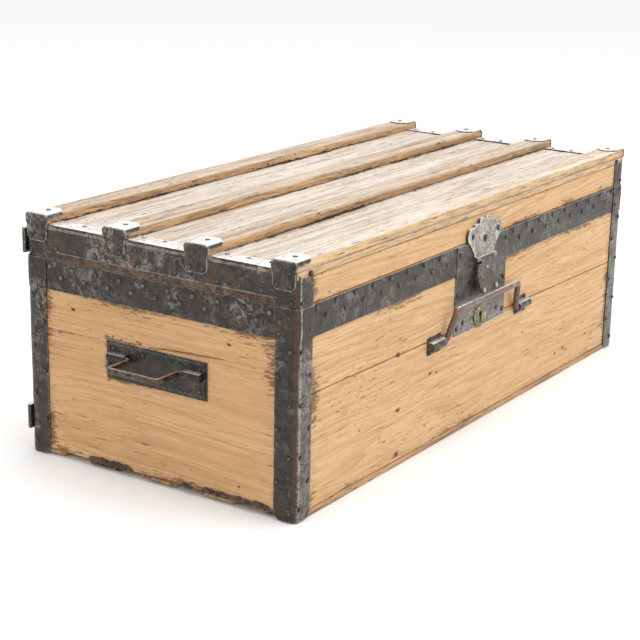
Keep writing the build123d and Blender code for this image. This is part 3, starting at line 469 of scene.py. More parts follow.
def wood(name, grain, pale, mid_tone, dark, spots=(), dirt_and_shade=0.5, contrast=1.0, weather=0.0, seed=0.0,
         gloss=0.5, silver=None, side=None, side_depth=0.7, zones=(), box=None):
    """Old pine. Its fibres run along grain, X or Y; stains and specks gather near the zones and the box,
    and at the foot of the slats the same darkening is painted shade.
    """
    pale, mid_tone, dark = tone(pale), tone(mid_tone), tone(dark)
    g = Graph(name)
    xyz = g.add("ShaderNodeSeparateXYZ", {0: g.coords})
    along = xyz.outputs[0] if grain == "X" else xyz.outputs[1]
    flat = xyz.outputs[1] if grain == "X" else xyz.outputs[0]
    across = g.plus(xyz.outputs[2], g.mul(flat, 0.83))
    local = g.add("ShaderNodeCombineXYZ", {0: along, 1: flat, 2: across}).outputs[0]
    # slow waves bend the fibres
    sway = g.field(3.0, 0.5, (2.2, 3.0, 9.0), local, (seed, 0, seed * 2))
    bent = g.plus(across, g.mul(g.minus(sway, 0.5), 0.050))
    fibre = g.add("ShaderNodeCombineXYZ", {0: along, 1: flat, 2: bent}).outputs[0]
    # growth rings: long nested arches
    arches = g.scaled((0.7, 2.0, 16.0), fibre, (seed * 3.1 + 0.17, 0.4, seed))
    rings = g.math("FRACT", g.mul(g.noise(1.0, 2.0, 0.45, arches), 17.0))
    rings = g.mul(g.ramp(rings, 0.35, 0.95), g.ramp(rings, 0.95, 1.0, 1.0, 0.0))
    # fibres, thin dark grain lines and pores
    fine = g.field(5.0, 0.65, (14.0, 300.0, 420.0), fibre, (seed, seed, 0))
    streak = g.field(5.0, 0.62, (3.2, 50.0, 110.0), fibre, (0, seed, seed))
    lines = g.field(3.0, 0.55, (6.5, 120.0, 300.0), fibre, (seed, 3, 0))
    lines = g.ramp(lines, 0.58, 0.70)
    pores = g.ramp(g.field(3.0, 0.7, (34.0, 300.0, 430.0), fibre), 0.62, 0.74)
    hair = g.field(3.0, 0.6, (26.0, 420.0, 620.0), fibre, (seed, 0, 5))
    color = g.mix(g.ramp(streak, 0.30, 0.72, 0.0, 0.8), pale, mid_tone)
    color = g.mix(g.ramp(hair, 0.46, 0.66, 0.0, 0.50 * contrast), color, dark)
    color = g.mix(g.mul(rings, 0.42 * contrast), color, dark)
    color = g.mix(g.mul(g.ramp(fine, 0.45, 0.75), 0.42 * contrast), color, dark)
    color = g.mix(g.mul(lines, 0.50 * contrast), color, dark)
    patch = g.field(6.0, 0.62, (6.0, 12.0, 15.0), local, (seed * 5, 0, 0))
    color = g.mix(g.ramp(patch, 0.48, 0.72, 0.0, 0.45), color, mid_tone)
    up = facing(g)
    facing_up = g.ramp(up, 0.45, 0.85)
    if silver:
        bare = g.field(8.0, 0.74, (5.0, 60.0, 60.0), fibre, (seed, 9, 0))
        bare = g.mul(g.ramp(bare, 0.34, 0.58, weather - 0.62, weather), facing_up)
        color = g.mix(bare, color, tone(silver))
        grey = g.field(6.0, 0.7, (3.0, 160.0, 160.0), fibre, (4, seed, 0))
        grey = g.mul(g.ramp(grey, 0.50, 0.66), facing_up)
        color = g.mix(g.mul(grey, 0.42), color, darker(dark, 0.75))
    # near-black for stains, specks and knots, and for the painted shade at the foot of the slats
    dirt_and_shade_color = darker(dark, 0.13)
    if side:
        edge_color = g.mix(g.ramp(streak, 0.3, 0.7), tone(side), darker(tone(side), side_depth))
        edge_color = g.mix(g.ramp(hair, 0.46, 0.66, 0.0, 0.6), edge_color, dark)
        edge_color = g.mix(g.ramp(patch, 0.44, 0.62, 0.0, 0.45), edge_color, mid_tone)
        color = g.mix(g.minus(1.0, facing_up), color, edge_color)
    # dark stains creep in from the trim and lie in patches; along the foot of the slats this darkening is
    # painted shade in the crease
    grime = g.field(8.0, 0.70, (22.0, 40.0, 60.0), local, (0, seed, 4))
    blotch = g.field(4.0, 0.6, (5.0, 9.0, 13.0), local, (3, seed, 1))
    close = near_lines(g, xyz, zones)
    if box:
        close = g.most(close, near_box(g, xyz, box))
    close = g.mul(close, g.ramp(up, -0.9, -0.5))
    stain_and_crease_shade = g.mul(close, g.ramp(blotch, 0.38, 0.60, 0.30, 1.0))
    specks = g.field(5.0, 0.72, (75.0, 260.0, 300.0), local, (seed, 6, 4))
    specks = g.plus(specks, g.mul(stain_and_crease_shade, 0.17))
    specks = g.plus(specks, g.ramp(blotch, 0.35, 0.75, -0.05, 0.07))
    spot_mask = g.ramp(specks, 0.62, 0.70)
    smear = g.plus(grime, g.mul(g.mul(stain_and_crease_shade, stain_and_crease_shade), 0.22))
    spot_mask = g.most(spot_mask, g.ramp(smear, 0.66, 0.76))
    haze = g.mul(g.ramp(smear, 0.50, 0.80), 0.40)
    color = g.mix(g.mul(haze, dirt_and_shade), color, dark)
    color = g.mix(g.mul(spot_mask, 0.85 * dirt_and_shade, True), color, dirt_and_shade_color)
    edges = g.sharp_edges(3.0 * MM)
    worn = g.mul(edges, g.ramp(g.noise(60.0, 5.0, 0.6), 0.35, 0.6))
    color = g.mix(g.mul(worn, 0.75 * dirt_and_shade, True), color, dirt_and_shade_color)
    # short scratches and dents that hold dirt
    scratch = g.field(2.0, 0.5, (30.0, 90.0, 330.0), local, (seed, 2, 2), (0.0, 0.13, 0.0))
    nick = g.field(2.0, 0.5, (70.0, 90.0, 210.0), local, (seed, 7, 2), (0.0, -0.3, 0.0))
    region = g.plus(g.ramp(blotch, 0.40, 0.58), stain_and_crease_shade)
    marks = g.most(g.ramp(scratch, 0.66, 0.73), g.ramp(nick, 0.71, 0.77))
    marks = g.mul(marks, region, True)
    color = g.mix(g.mul(marks, 0.85 * dirt_and_shade, True), color, dirt_and_shade_color)
    color = g.mix(g.mul(pores, 0.34 * contrast), color, dirt_and_shade_color)
    if spots:
        ragged = g.field(6.0, 0.75, (160.0, 240.0, 240.0), local, (seed, 1, 8))
        near = knots(g, along, xyz.outputs[2], spots, g.ramp(ragged, 0.34, 0.62, 0.15, 3.2))
        color = g.mix(g.ramp(near, 0.5, 5.0, 0.35, 0.0), color, dark)
        color = g.mix(g.ramp(near, 0.30, 0.95, 0.90, 0.0), color, dirt_and_shade_color)
    height = g.plus(g.mul(fine, 0.55), g.mul(rings, -0.30))
    height = g.minus(height, g.mul(lines, 0.5))
    height = g.minus(height, g.mul(pores, 0.6))
    height = g.minus(height, g.mul(marks, 0.9))
    normal = g.bump(height, 0.6 + 0.35 * weather, (0.9 + 0.6 * weather) * MM)
    rough = g.ramp(streak, 0.3, 0.7, gloss, gloss + 0.14)
    g.finish(color, rough, normal=normal, specular=0.4)


def direction(g, axis):
    """How far the surface faces along one axis of the trunk at rest, from -1 to 1."""
    normal = g.add("ShaderNodeTexCoord").outputs["Normal"]
    return g.split(normal, axis)


def facing(g):
    """How far the surface faces up, from -1 to 1."""
    return direction(g, 2)


def steel(name, dark, worn, rust, wear, rusty, seed, gloss, edge_wear_and_highlight=0.7, top_sheen_amount=0.9,
          light_below=None, dark_below=None, spots=(), depth=0.25, rim_wear_and_highlight_floor=0.05, ridge=0.0,
          side_shade=0.0):
    """Old sheet steel: a dark coat worn to grey metal on edges and in patches, with some rust; the rims
    also carry a painted highlight line and the upward faces a painted sheen.
    """
    dark, worn, rust = tone(dark), tone(worn), tone(rust)
    g = Graph(name)
    cloud = g.noise(17.0, 8.0, 0.68, g.scaled((1, 1, 1), None, (seed, seed, 0)), 0.6)
    grit = g.noise(210.0, 8.0, 0.75)
    mottle = g.noise(95.0, 8.0, 0.72, g.scaled((1, 1, 1), None, (0, seed, seed)), 1.2)
    scuff = g.field(3.0, 0.6, (60.0, 60.0, 480.0), None, (0, 0, 0), (0.5, 0.9, 0.2))
    edge = g.sharp_edges(1.0 * MM)
    rim_gap = g.edge_distance()
    near = g.mul(g.ramp(rim_gap, 0.0, 2.0 * MM, 1.0, 0.0), g.ramp(rim_gap, 0.0, 0.05 * MM))
    rim = g.most(edge, g.mul(near, 0.8))
    # the rims wear to bare metal in patches and are also lightened all along as a painted highlight line
    bare = g.mul(rim, g.ramp(mottle, 0.42, 0.58, rim_wear_and_highlight_floor, edge_wear_and_highlight))
    patch = g.mul(g.ramp(cloud, 0.46, 0.64), g.ramp(mottle, 0.44, 0.62))
    bare = g.most(bare, g.mul(patch, wear))
    fleck = g.mul(g.ramp(grit, 0.58, 0.68), g.ramp(cloud, 0.42, 0.58, 0.25, 1.0))
    bare = g.most(bare, g.mul(fleck, 0.55 * wear))
    bare = g.most(bare, g.mul(g.ramp(scuff, 0.68, 0.76), 0.5 * wear))
    # upward faces are lightened towards a pale colour: a painted sheen, partly standing for metal rubbed
    # bright
    top_sheen = g.mul(g.ramp(facing(g), 0.75, 0.95), g.ramp(mottle, 0.32, 0.46, 0.55, 1.0))
    top_sheen = g.mul(top_sheen, top_sheen_amount)
    deep = darker(dark, depth)
    color = g.mix(g.ramp(mottle, 0.42, 0.60), deep, dark)
    color = g.mix(g.ramp(cloud, 0.36, 0.50, 0.55, 0.0), color, deep)
    height = g.split(g.coords, 2)
    if light_below:
        blend = g.ramp(height, light_below - 12 * MM, light_below + 8 * MM, 1.0, 0.0)
        color = g.mix(g.mul(blend, g.ramp(mottle, 0.35, 0.60, 0.10, 0.55)), color, worn)
    brown = g.ramp(g.noise(30.0, 8.0, 0.72, g.scaled((1, 1, 1), None, (seed + 4, 0, 0))), 0.48, 0.62)
    color = g.mix(g.mul(brown, rusty), color, rust)
    color = g.mix(bare, color, worn)
    if ridge:
        along_x, along_y = (g.math("ABSOLUTE", direction(g, axis)) for axis in (0, 1))
        sideways = g.math("MINIMUM", along_x, along_y)
        fold = g.mul(g.ramp(sideways, 0.30, 0.55), g.ramp(mottle, 0.36, 0.54, 0.35, 1.0))
        color = g.mix(g.mul(fold, ridge), color, darker(rust, 0.75))
        # a thin light line where the bend starts on the front: a painted highlight, partly standing for
        # wear
        fold_highlight = g.mul(g.ramp(sideways, 0.08, 0.16), g.ramp(sideways, 0.28, 0.36, 1.0, 0.0))
        front = g.ramp(direction(g, 1), -0.92, -0.80, 1.0, 0.0)
        fold_highlight = g.mul(g.mul(fold_highlight, front), g.ramp(mottle, 0.40, 0.52, 0.15, 0.9))
        color = g.mix(fold_highlight, color, worn)
        # front faces below the band are lightened in mottled patches: painted light on the side facing the
        # front
        lower = g.mul(g.ramp(height, BAND_BASE - 30 * MM, BAND_BASE, 1.0, 0.0), front)
        color = g.mix(g.mul(lower, g.ramp(mottle, 0.38, 0.62, 0.05, 0.50)), color, worn)
    # faces turned away from the front are darkened: painted shade on the sides
    if side_shade:
        toward = g.mul(direction(g, 1), -1.0)
        color = g.mix(g.ramp(toward, 0.35, 0.75, side_shade, 0.0), color, darker(dark, 0.10))
    # the pale colour of the painted sheen on upward faces
    bright = tuple(min(1.0, 0.42 + c * 1.2) for c in worn)
    color = g.mix(top_sheen, color, bright)
    shine = g.most(bare, top_sheen)
    if dark_below:
        color = g.mix(g.ramp(height, dark_below, dark_below + 6 * MM, 0.92, 0.0), color, deep)
    # painted studs: a pale dome as a painted highlight and a dark ring round it as painted shade
    for x, y, z, radius in spots:
        gap = g.vector_math("DISTANCE", g.coords, (x, y, z))
        stud_highlight = g.mul(g.ramp(gap, radius * 0.5, radius, 1.0, 0.0), g.ramp(mottle, 0.3, 0.5, 0.45, 0.85))
        ring = g.mul(g.ramp(gap, radius, radius * 1.25, 1.0, 0.0), 0.9)
        color = g.mix(ring, color, deep)
        color = g.mix(stud_highlight, color, worn)
        shine = g.most(shine, stud_highlight)
    metallic = g.linear(shine, 0.35, 0.45)
    rough = g.plus(g.ramp(mottle, 0.35, 0.65, gloss - 0.12, gloss + 0.18), g.mul(brown, 0.12))
    relief = g.plus(g.mul(grit, 0.35), g.mul(mottle, 1.0))
    normal = g.bump(relief, 0.75, 0.9 * MM)
    hollows = g.bump(cloud, 0.7, 4.0 * MM, normal)
    g.finish(color, rough, metallic, hollows, 0.6)


def nail_metal(name, dark, light):
    """Old domed nails: a dark ring at the foot, painted as shade, and a painted highlight on the crown."""
    dark, light = tone(dark), tone(light)
    g = Graph(name)
    rim_gap = g.edge_distance()
    grit = g.noise(260.0, 6.0, 0.7)
    each = g.noise(24.0, 2.0, 0.5)
    crown = g.mul(g.ramp(rim_gap, 1.2 * MM, 3.2 * MM), g.ramp(each, 0.36, 0.60, 0.15, 0.75))
    up = g.ramp(facing(g), 0.10, 0.60)
    lit = g.mul(crown, g.plus(0.30, up), True)
    lit = g.most(lit, g.mul(g.ramp(facing(g), 0.6, 0.9), g.ramp(rim_gap, 0.2 * MM, 0.7 * MM)))
    color = g.mix(g.ramp(grit, 0.4, 0.6), darker(dark, 0.5), dark)
    # the dark ring within a millimetre of the rim is painted contact shade
    color = g.mix(g.ramp(rim_gap, 0.1 * MM, 1.2 * MM, 0.92, 0.0), color, darker(dark, 0.08))
    color = g.mix(lit, color, light)
    metallic = g.ramp(lit, 0.0, 1.0, 0.55, 0.85)
    normal = g.bump(g.plus(grit, each), 0.5, 0.5 * MM)
    g.finish(color, g.ramp(grit, 0.3, 0.7, 0.20, 0.38), metallic, normal, 0.7)


# Marks in the wood: place along the grain, height, radius
FRONT_KNOTS = (
    (-0.2326, 0.1625, 6.0 * MM),
    (-0.2281, 0.0817, 5.5 * MM),
    (-0.2284, 0.0180, 6.0 * MM),
    (-0.3254, 0.0817, 2.0 * MM),
    (-0.1439, 0.1127, 4.2 * MM),
    (-0.1255, 0.1093, 3.0 * MM),
    (0.2569, 0.0391, 3.6 * MM),
    (0.2857, 0.0420, 4.0 * MM),
    (0.1045, 0.1746, 3.4 * MM),
    (0.1383, 0.1040, 3.0 * MM),
    (0.0455, 0.1910, 2.6 * MM),
    (0.3680, 0.0457, 2.2 * MM),
)
END_KNOTS = ((-0.1163, 0.2169, 3.0 * MM), (0.1410, 0.2166, 4.0 * MM), (-0.1324, 0.0309, 2.6 * MM))

HANDLE_GRIME = (low("handle_plate_left").y, high("handle_plate_left").y,
                low("handle_plate_left").z, high("handle_plate_left").z, 9 * MM)
SEAM_BAND = (("Z", BAND_BASE, 18 * MM), ("Z", BODY_TOP, 20 * MM))
FRONT_ZONES = SEAM_BAND + (
    ("X", -END_X + FLANGE, 30 * MM),
    ("X", END_X - FLANGE, 18 * MM),
    ("Z", RUNNER_TOP, 12 * MM),
    ("Z", PLANK_BASE, 7 * MM),
)
END_ZONES = (
    ("Z", BAND_BASE, 14 * MM),
    ("Y", FRONT_Y + FLANGE, 26 * MM),
    ("Y", REAR_Y - FLANGE, 18 * MM),
    ("Z", RUNNER_TOP, 16 * MM),
)
TOP_ZONES = tuple(("Y", high(node).y, 7 * MM) for node in SLATS[:-1])
TOP_ZONES += tuple(("Y", low(node).y, 9 * MM) for node in SLATS[1:])
TOP_ZONES += (("X", -END_X + 26 * MM, 10 * MM), ("X", END_X - 26 * MM, 10 * MM), ("Z", PLANK_BASE, 2 * MM))
# Studs painted on the hasp: place and radius of each painted highlight with its ring of painted shade
HASP_STUDS = (
    (-0.0262, -0.2364, 0.2103, 5.0 * MM),
    (0.0102, -0.2364, 0.2103, 5.0 * MM),
    (-0.0080, -0.2294, 0.2400, 3.8 * MM),
)

def finishes():
    """Every finish of the trunk."""
    wood("front_pine", "X", (232, 198, 150), (214, 176, 128), (164, 118, 72),
         FRONT_KNOTS, dirt_and_shade=1.0, contrast=0.72, seed=1.0, zones=FRONT_ZONES)
    wood("end_pine", "Y", (224, 184, 136), (206, 164, 114), (154, 108, 64),
         END_KNOTS, dirt_and_shade=1.0, contrast=0.60, seed=2.3, zones=END_ZONES, box=HANDLE_GRIME)
    wood("back_pine", "X", (218, 182, 136), (200, 160, 110), (150, 106, 62),
         dirt_and_shade=1.0, contrast=0.8, seed=4.1, zones=FRONT_ZONES)
    wood("inner_pine", "X", (214, 182, 138), (190, 152, 106), (132, 92, 56),
         dirt_and_shade=0.6, contrast=0.8, seed=5.7)
    wood("top_pine", "X", (202, 178, 148), (170, 140, 107), (100, 74, 52),
         dirt_and_shade=1.0, contrast=1.0, weather=0.86, seed=3.2, gloss=0.42, silver=(222, 213, 202),
         side=(222, 186, 138), zones=TOP_ZONES)
    # the zones at the foot of the slats, here and in the front slat, paint shade in the crease over the
    # planks
    wood("slat_pine", "X", (192, 150, 106), (160, 116, 74), (82, 54, 34),
         dirt_and_shade=1.25, contrast=1.15, weather=0.84, seed=6.6, gloss=0.44, silver=(206, 191, 172),
         side=(214, 172, 126), side_depth=0.45, zones=(("Z", PLANK_TOP, 5 * MM),))
    wood("front_slat", "X", (206, 172, 132), (180, 144, 104), (104, 74, 48),
         dirt_and_shade=1.0, contrast=1.0, weather=0.86, seed=6.2, gloss=0.44, silver=(224, 212, 198),
         side=(222, 186, 138), side_depth=0.75, zones=(("Z", PLANK_TOP, 2 * MM),))
    wood("runner_pine", "X", (206, 168, 124), (172, 134, 94), (96, 66, 42),
         dirt_and_shade=1.4, contrast=1.0, seed=8.2, gloss=0.6,
         zones=(("X", -END_X, 22 * MM), ("X", END_X, 22 * MM)))
    steel("dark_steel", (64, 58, 51), (154, 151, 143), (88, 62, 44),
          wear=0.56, rusty=0.35, seed=1.0, gloss=0.32, ridge=0.75)
    steel("lid_steel", (72, 65, 57), (180, 178, 171), (100, 70, 48),
          wear=0.65, rusty=0.40, seed=3.0, gloss=0.30, edge_wear_and_highlight=1.0, rim_wear_and_highlight_floor=0.35)
    steel("lock_steel", (88, 83, 74), (154, 152, 142), (92, 72, 56),
          wear=0.60, rusty=0.22, seed=5.0, gloss=0.32, light_below=0.200)
    steel("hasp_steel", (96, 90, 80), (176, 174, 166), (110, 78, 58),
          wear=0.65, rusty=0.35, seed=5.0, gloss=0.30, spots=HASP_STUDS)
    steel("bracket_steel", (60, 56, 50), (170, 168, 160), (80, 58, 44),
          wear=0.6, rusty=0.3, seed=4.4, gloss=0.28)
    steel("dark_strip", (78, 60, 46), (150, 134, 118), (104, 72, 48),
          wear=0.45, rusty=0.7, seed=7.0, gloss=0.36)
    steel("nickel", (176, 171, 160), (236, 233, 226), (110, 95, 76),
          wear=0.8, rusty=0.40, seed=2.0, gloss=0.22, depth=0.42, rim_wear_and_highlight_floor=0.6, side_shade=0.85)
    steel("handle_steel", (50, 47, 43), (132, 128, 120), (86, 58, 42),
          wear=0.30, rusty=0.40, seed=4.0, gloss=0.24, edge_wear_and_highlight=1.0, rim_wear_and_highlight_floor=0.55)
    steel("grip_steel", (84, 62, 48), (150, 128, 112), (92, 60, 44),
          wear=0.35, rusty=0.5, seed=4.9, gloss=0.26, top_sheen_amount=0.5)
    steel("bail_steel", (138, 110, 94), (220, 208, 198), (112, 78, 60),
          wear=0.5, rusty=0.30, seed=6.0, gloss=0.20, dark_below=0.189, depth=0.5)
    nail_metal("nail_steel", (80, 74, 66), (184, 181, 174))
    steel("brass", (146, 138, 84), (208, 200, 140), (96, 86, 54),
          wear=0.7, rusty=0.45, seed=8.0, gloss=0.30)


def paint(obj, finish):
    """Gives an object one finish."""
    obj.data.materials.clear()
    obj.data.materials.append(FINISHES[finish])
    return obj


# Boards

def board_x(name, node, slope=0.0, at_top=False, at_base=False, body="trunk_body", material="front_pine",
            slot="pine_board", trim=CORNER_R, radius=1.4 * MM, rough=0.35 * MM, seed=1):
    """A board along X; a slanted joint tips its upper or lower edge."""
    a, b = low(node), high(node)

    def shape(x):
        tip = -slope * x
        base, top = a.z + (tip + JOINT_GAP if at_base else 0), b.z + (tip - JOINT_GAP if at_top else 0)
        return rounded_profile(a.y, b.y, base, top, [radius] * 4, nominal=(b.y - a.y, b.z - a.z))

    solid = Solid()
    bar(solid, shape, section_x, a.x + trim, b.x - trim, seed, rough)
    return paint(solid.build(name, slot, body, (node,)), material)


def bar(solid, shape, place, start, end, seed, rough=0.35 * MM, pitch=14 * MM, size=70 * MM):
    """A wooden bar with an uneven, hand-worn surface; its profile may change along it."""
    taper = 1.0 * MM
    steps = max(2, int(round((end - start) / pitch)))
    margin = taper / (end - start)
    stations = [0.0, margin] + [i / steps for i in range(1, steps)] + [1 - margin, 1.0]
    rings = []
    for k, t in enumerate(stations):
        at = lerp(start, end, t)
        profile = shape(at)
        count = len(profile)
        ring = []
        for i, p in enumerate(profile):
            before, after = Vector(profile[i - 1]), Vector(profile[(i + 1) % count])
            d = (after - before).normalized()
            n = Vector((d.y, -d.x))
            spot = Vector(place(p[0], p[1], at))
            if abs(place(0, 0, 1)[0]) > 0.5:
                spot.x *= 0.35
            else:
                spot.y *= 0.35
            depth = rough * (0.5 - 0.5 * ripple(spot, size, seed))
            if k in (0, len(stations) - 1):
                depth += 0.6 * taper
            q = Vector(p) - n * depth
            ring.append(Vector(place(q.x, q.y, at)))
        rings.append(ring)
    solid.add_loft(rings, [0.0] * len(rings[0]))


def end_board(name, node, material="end_pine", body="trunk_body", crack=None, seed=3):
    """A board along Y; crack gives the height, the start and the end of a split in its outer face."""
    a, b = low(node), high(node)
    outside = a.x if a.x < 0 else b.x
    points = rounded_profile(a.x, b.x, a.z, b.z, [1.2 * MM] * 4)
    before, after = points, []
    if crack:
        split = [i for i, (x, z) in enumerate(points)
                 if abs(x - outside) < 1e-6 and abs(z - crack[0]) < 8 * MM]
        before, after = points[:split[0]], points[split[-1] + 1:]

    def shape(y):
        if not crack:
            return points
        height, start, end = crack
        t = (y - start) / (end - start)
        depth = 0.02 * MM + 3.0 * MM * smooth(4 * t) * smooth(4 * (1 - t))
        at = height + 3.2 * MM * (1 - 2 * t) + 0.8 * MM * ripple((0, y, 0), 14 * MM, seed)
        half = 0.3 * MM + 0.35 * depth
        groove = [(outside, at + half), (outside - copysign(depth, outside), at), (outside, at - half)]
        return before + (groove if outside < 0 else groove[::-1]) + after

    solid = Solid()
    bar(solid, shape, section_y, a.y, b.y, seed)
    return paint(solid.build(name, "pine_board", body, (node,)), material)


def sheet(solid, name, body, node, material, rounding):
    """Sheet steel from a solid, painted, with its edges rounded."""
    bevel(paint(solid.build(name, "dark_sheet", body, (node,)), material), rounding)


def cut(obj, lowest, highest):
    """Cuts a box out of an object."""
    work = bmesh.new()
    bmesh.ops.create_cube(work, size=1.0)
    size = Vector(highest) - Vector(lowest)
    middle = (Vector(highest) + Vector(lowest)) / 2
    matrix = Matrix.Translation(middle) @ Matrix.Diagonal((*size, 1))
    bmesh.ops.transform(work, matrix=matrix, verts=work.verts)
    mesh = bpy.data.meshes.new("cutter")
    work.to_mesh(mesh)
    work.free()
    cutter = bpy.data.objects.new("cutter", mesh)
    bpy.context.collection.objects.link(cutter)
    mod = obj.modifiers.new("cut", "BOOLEAN")
    mod.object = cutter
    mod.operation = "DIFFERENCE"
    mod.solver = "EXACT"
    graph = bpy.context.evaluated_depsgraph_get()
    graph.update()
    result = bpy.data.meshes.new_from_object(obj.evaluated_get(graph))
    obj.modifiers.remove(mod)
    obj.data = result
    bpy.data.objects.remove(cutter)


def body_boards():
    """The body's walls; the front is cut out for the lock case."""
    slope = 6.5 * MM / END_X
    lower = board_x("front_lower", "front_board_lower", slope, at_top=True, seed=1)
    upper = board_x("front_upper", "front_board_upper", slope, at_base=True, seed=2)
    reach = Vector((0, CUT_REACH, 0))
    case_low, case_high = low("lock_case"), high("lock_case")
    case_low.y = FRONT_Y
    for obj in (lower, upper):
        cut(obj, case_low - reach, case_high + reach)
    board_x("back_lower", "back_board_lower", slope, at_top=True, material="back_pine", seed=5)
    board_x("back_upper", "back_board_upper", slope, at_base=True, material="back_pine", seed=6)
    end_board("left_end", "left_end_board", crack=(0.1925, -0.108, 0.012), seed=7)
    end_board("right_end", "right_end_board", seed=8)


def runners():
    """Five floor runners with worn, slanting ends."""
    node = "floor_runners"
    a, b = low(node), high(node)
    count = 5
    width = 52 * MM
    step = (b.y - a.y - width) / (count - 1)
    solid = Solid()
    for i in range(count):
        y = a.y + i * step

        def shape(x, y=y):
            inset = max(0.0, 9 * MM - (END_X - abs(x)))
            lift = 0.55 * inset
            sides = (y + 0.4 * inset, y + width - 0.4 * inset)
            radii = [1.6 * MM, 1.6 * MM, 0.8 * MM, 0.8 * MM]
            return rounded_profile(*sides, a.z + lift, b.z, radii, nominal=(width, b.z - a.z))

        bar(solid, shape, section_x, a.x + 0.3 * MM, b.x - 0.3 * MM, 20 + i, 0.5 * MM, 8 * MM)
    paint(solid.build("runners", "slat_wood", "trunk_body", (node,)), "runner_pine")


# Sheet steel round the trunk

def corner_path(side_x, side_y, flange, proud):
    """Plan of a sheet round one vertical corner, walked clockwise so that its left is outside."""
    radius = CORNER_R + proud
    centre = (side_x * (END_X - CORNER_R), side_y * (-FRONT_Y - CORNER_R))
    start = {(-1, -1): 270, (-1, 1): 180, (1, 1): 90, (1, -1): 360}[(side_x, side_y)]
    bend = arc(centre, radius, start, start - 90, 6)
    first, last = radians(start), radians(start - 90)
    straight = flange - ANGLE_SHEET - CORNER_R
    lead = (bend[0][0] + straight * -sin(first), bend[0][1] + straight * cos(first))
    trail = (bend[-1][0] + straight * sin(last), bend[-1][1] - straight * cos(last))
    return [lead] + bend + [trail]


CORNERS = ((-1, -1), (1, -1), (-1, 1), (1, 1))


def corner_name(side_x, side_y):
    """The name of one vertical corner."""
    return ("front" if side_y < 0 else "rear") + "_" + ("left" if side_x < 0 else "right")


def corner_angles():
    """Four steel angles with dented faces and rounded feet."""
    for number, (side_x, side_y) in enumerate(CORNERS):
        corner = corner_name(side_x, side_y)
        path = corner_path(side_x, side_y, FLANGE, 0.0)
        total = sum(hypot(b[0] - a[0], b[1] - a[1]) for a, b in zip(path, path[1:]))

        def foot(s, total=total, seed=number):
            edge = min(s, total - s)
            lift = 7 * MM * (1 - smooth(edge / (9 * MM)))
            return 1.2 * MM + lift + 1.2 * MM * abs(ripple((s, 0, 0), 20 * MM, 31 + seed))

        solid = Solid()
        skin(solid, path, plan, foot, lambda s: BAND_BASE + 1.0 * MM, ANGLE_SHEET - 0.3 * MM, 40 + number,
             dent=0.7 * MM, wobble=0.9 * MM, pitch=3.4 * MM)
        sheet(solid, "angle_" + corner, "trunk_body", "corner_angle_" + corner, "dark_steel", 0.5 * MM)


def straight_path(side, reach):
    """Plan of a sheet on one face, walked clockwise."""
    ends = {
        "front": ((reach, FRONT_Y), (-reach, FRONT_Y)),
        "rear": ((-reach, REAR_Y), (reach, REAR_Y)),
        "left": ((-END_X, -reach), (-END_X, reach)),
        "right": ((END_X, reach), (END_X, -reach)),
    }
    return list(ends[side])


def bands():
    """The band round the body, over the boards."""
    for number, side in enumerate(("front", "rear", "left", "right")):
        long_side = side in ("front", "rear")
        reach = (END_X if long_side else REAR_Y) - FLANGE + 6 * MM
        solid = Solid()
        path = straight_path(side, reach)
        skin(solid, path, plan, lambda s: BAND_BASE, lambda s: BODY_TOP, SHEET, 50 + number,
             dent=0.5 * MM, wobble=0.8 * MM, pitch=6 * MM)
        name = "band_" + side
        sheet(solid, name + "_sheet", "trunk_body", name, "dark_steel", 0.4 * MM)


def corner_wraps():
    """Strips dressed round the corners over the band."""
    solid = Solid()
    for number, (side_x, side_y) in enumerate(CORNERS):
        path = corner_path(side_x, side_y, FLANGE + 1 * MM, SHEET)
        skin(solid, path, plan, lambda s: BAND_BASE - 1 * MM, lambda s: BODY_TOP, SHEET, 60 + number,
             dent=0.8 * MM, wobble=0.7 * MM, pitch=3.2 * MM)
    sheet(solid, "corner_wrap_sheets", "trunk_body", "corner_wraps", "dark_steel", 0.45 * MM)


def bottom_bindings():
    """Ragged remains of a strip along the bottom of both ends."""
    node = "end_bindings"
    a, b = low(node), high(node)
    spans = ((-185 * MM, -72 * MM), (-58 * MM, -40 * MM), (42 * MM, 120 * MM))
    solid = Solid()
    for side_x in (-1, 1):
        for number, (start, end) in enumerate(spans):
            ends = [(side_x * END_X, start), (side_x * END_X, end)]
            path = ends if side_x < 0 else ends[::-1]

            def ragged(s, seed=number, length=end - start):
                fade = smooth(min(s, length - s) / (9 * MM))
                return b.z - 4.5 * MM * (1 - fade) + 2.2 * MM * ripple((s, seed, 0), 9 * MM, 70 + seed)

            skin(solid, path, plan, lambda s: a.z, ragged, 0.9 * MM, 75 + number,
                 dent=0.3 * MM, wobble=0.6 * MM, pitch=3 * MM)
    paint(solid.build("bottom_strips", "dark_strip", "trunk_body", (node,)), "dark_strip")


# Lid

def lid_boards():
    """The lid's frame and its three top planks."""
    for node, name, seed in (("lid_front_board", "lid_front", 81), ("lid_back_board", "lid_back", 82)):
        board_x(name, node, body="lid", material="front_pine" if seed == 81 else "back_pine", seed=seed)
    end_board("lid_left", "lid_left_board", body="lid", seed=83)
    end_board("lid_right", "lid_right_board", body="lid", seed=84)
    for number, part in enumerate(("front", "middle", "rear")):
        node = "lid_plank_" + part
        board_x("plank_" + part, node, body="lid", material="top_pine", slot="weathered_plank",
                trim=0.0, radius=1.8 * MM, rough=0.7 * MM, seed=85 + number)


def slats():
    """Four slats with rounded, weathered upper edges."""
    for number, node in enumerate(SLATS):
        a, b = low(node), high(node)
        solid = Solid()

        def shape(x, a=a, b=b):
            return rounded_profile(a.y, b.y, a.z, b.z, [0.8 * MM, 0.8 * MM, 4.6 * MM, 4.6 * MM], 7 * MM)

        bar(solid, shape, section_x, a.x, b.x, 90 + number, 0.9 * MM, 10 * MM, size=45 * MM)
        finish = "front_slat" if number == 0 else "slat_pine"
        paint(solid.build("slat_" + str(number + 1), "slat_wood", "lid", (node,)), finish)


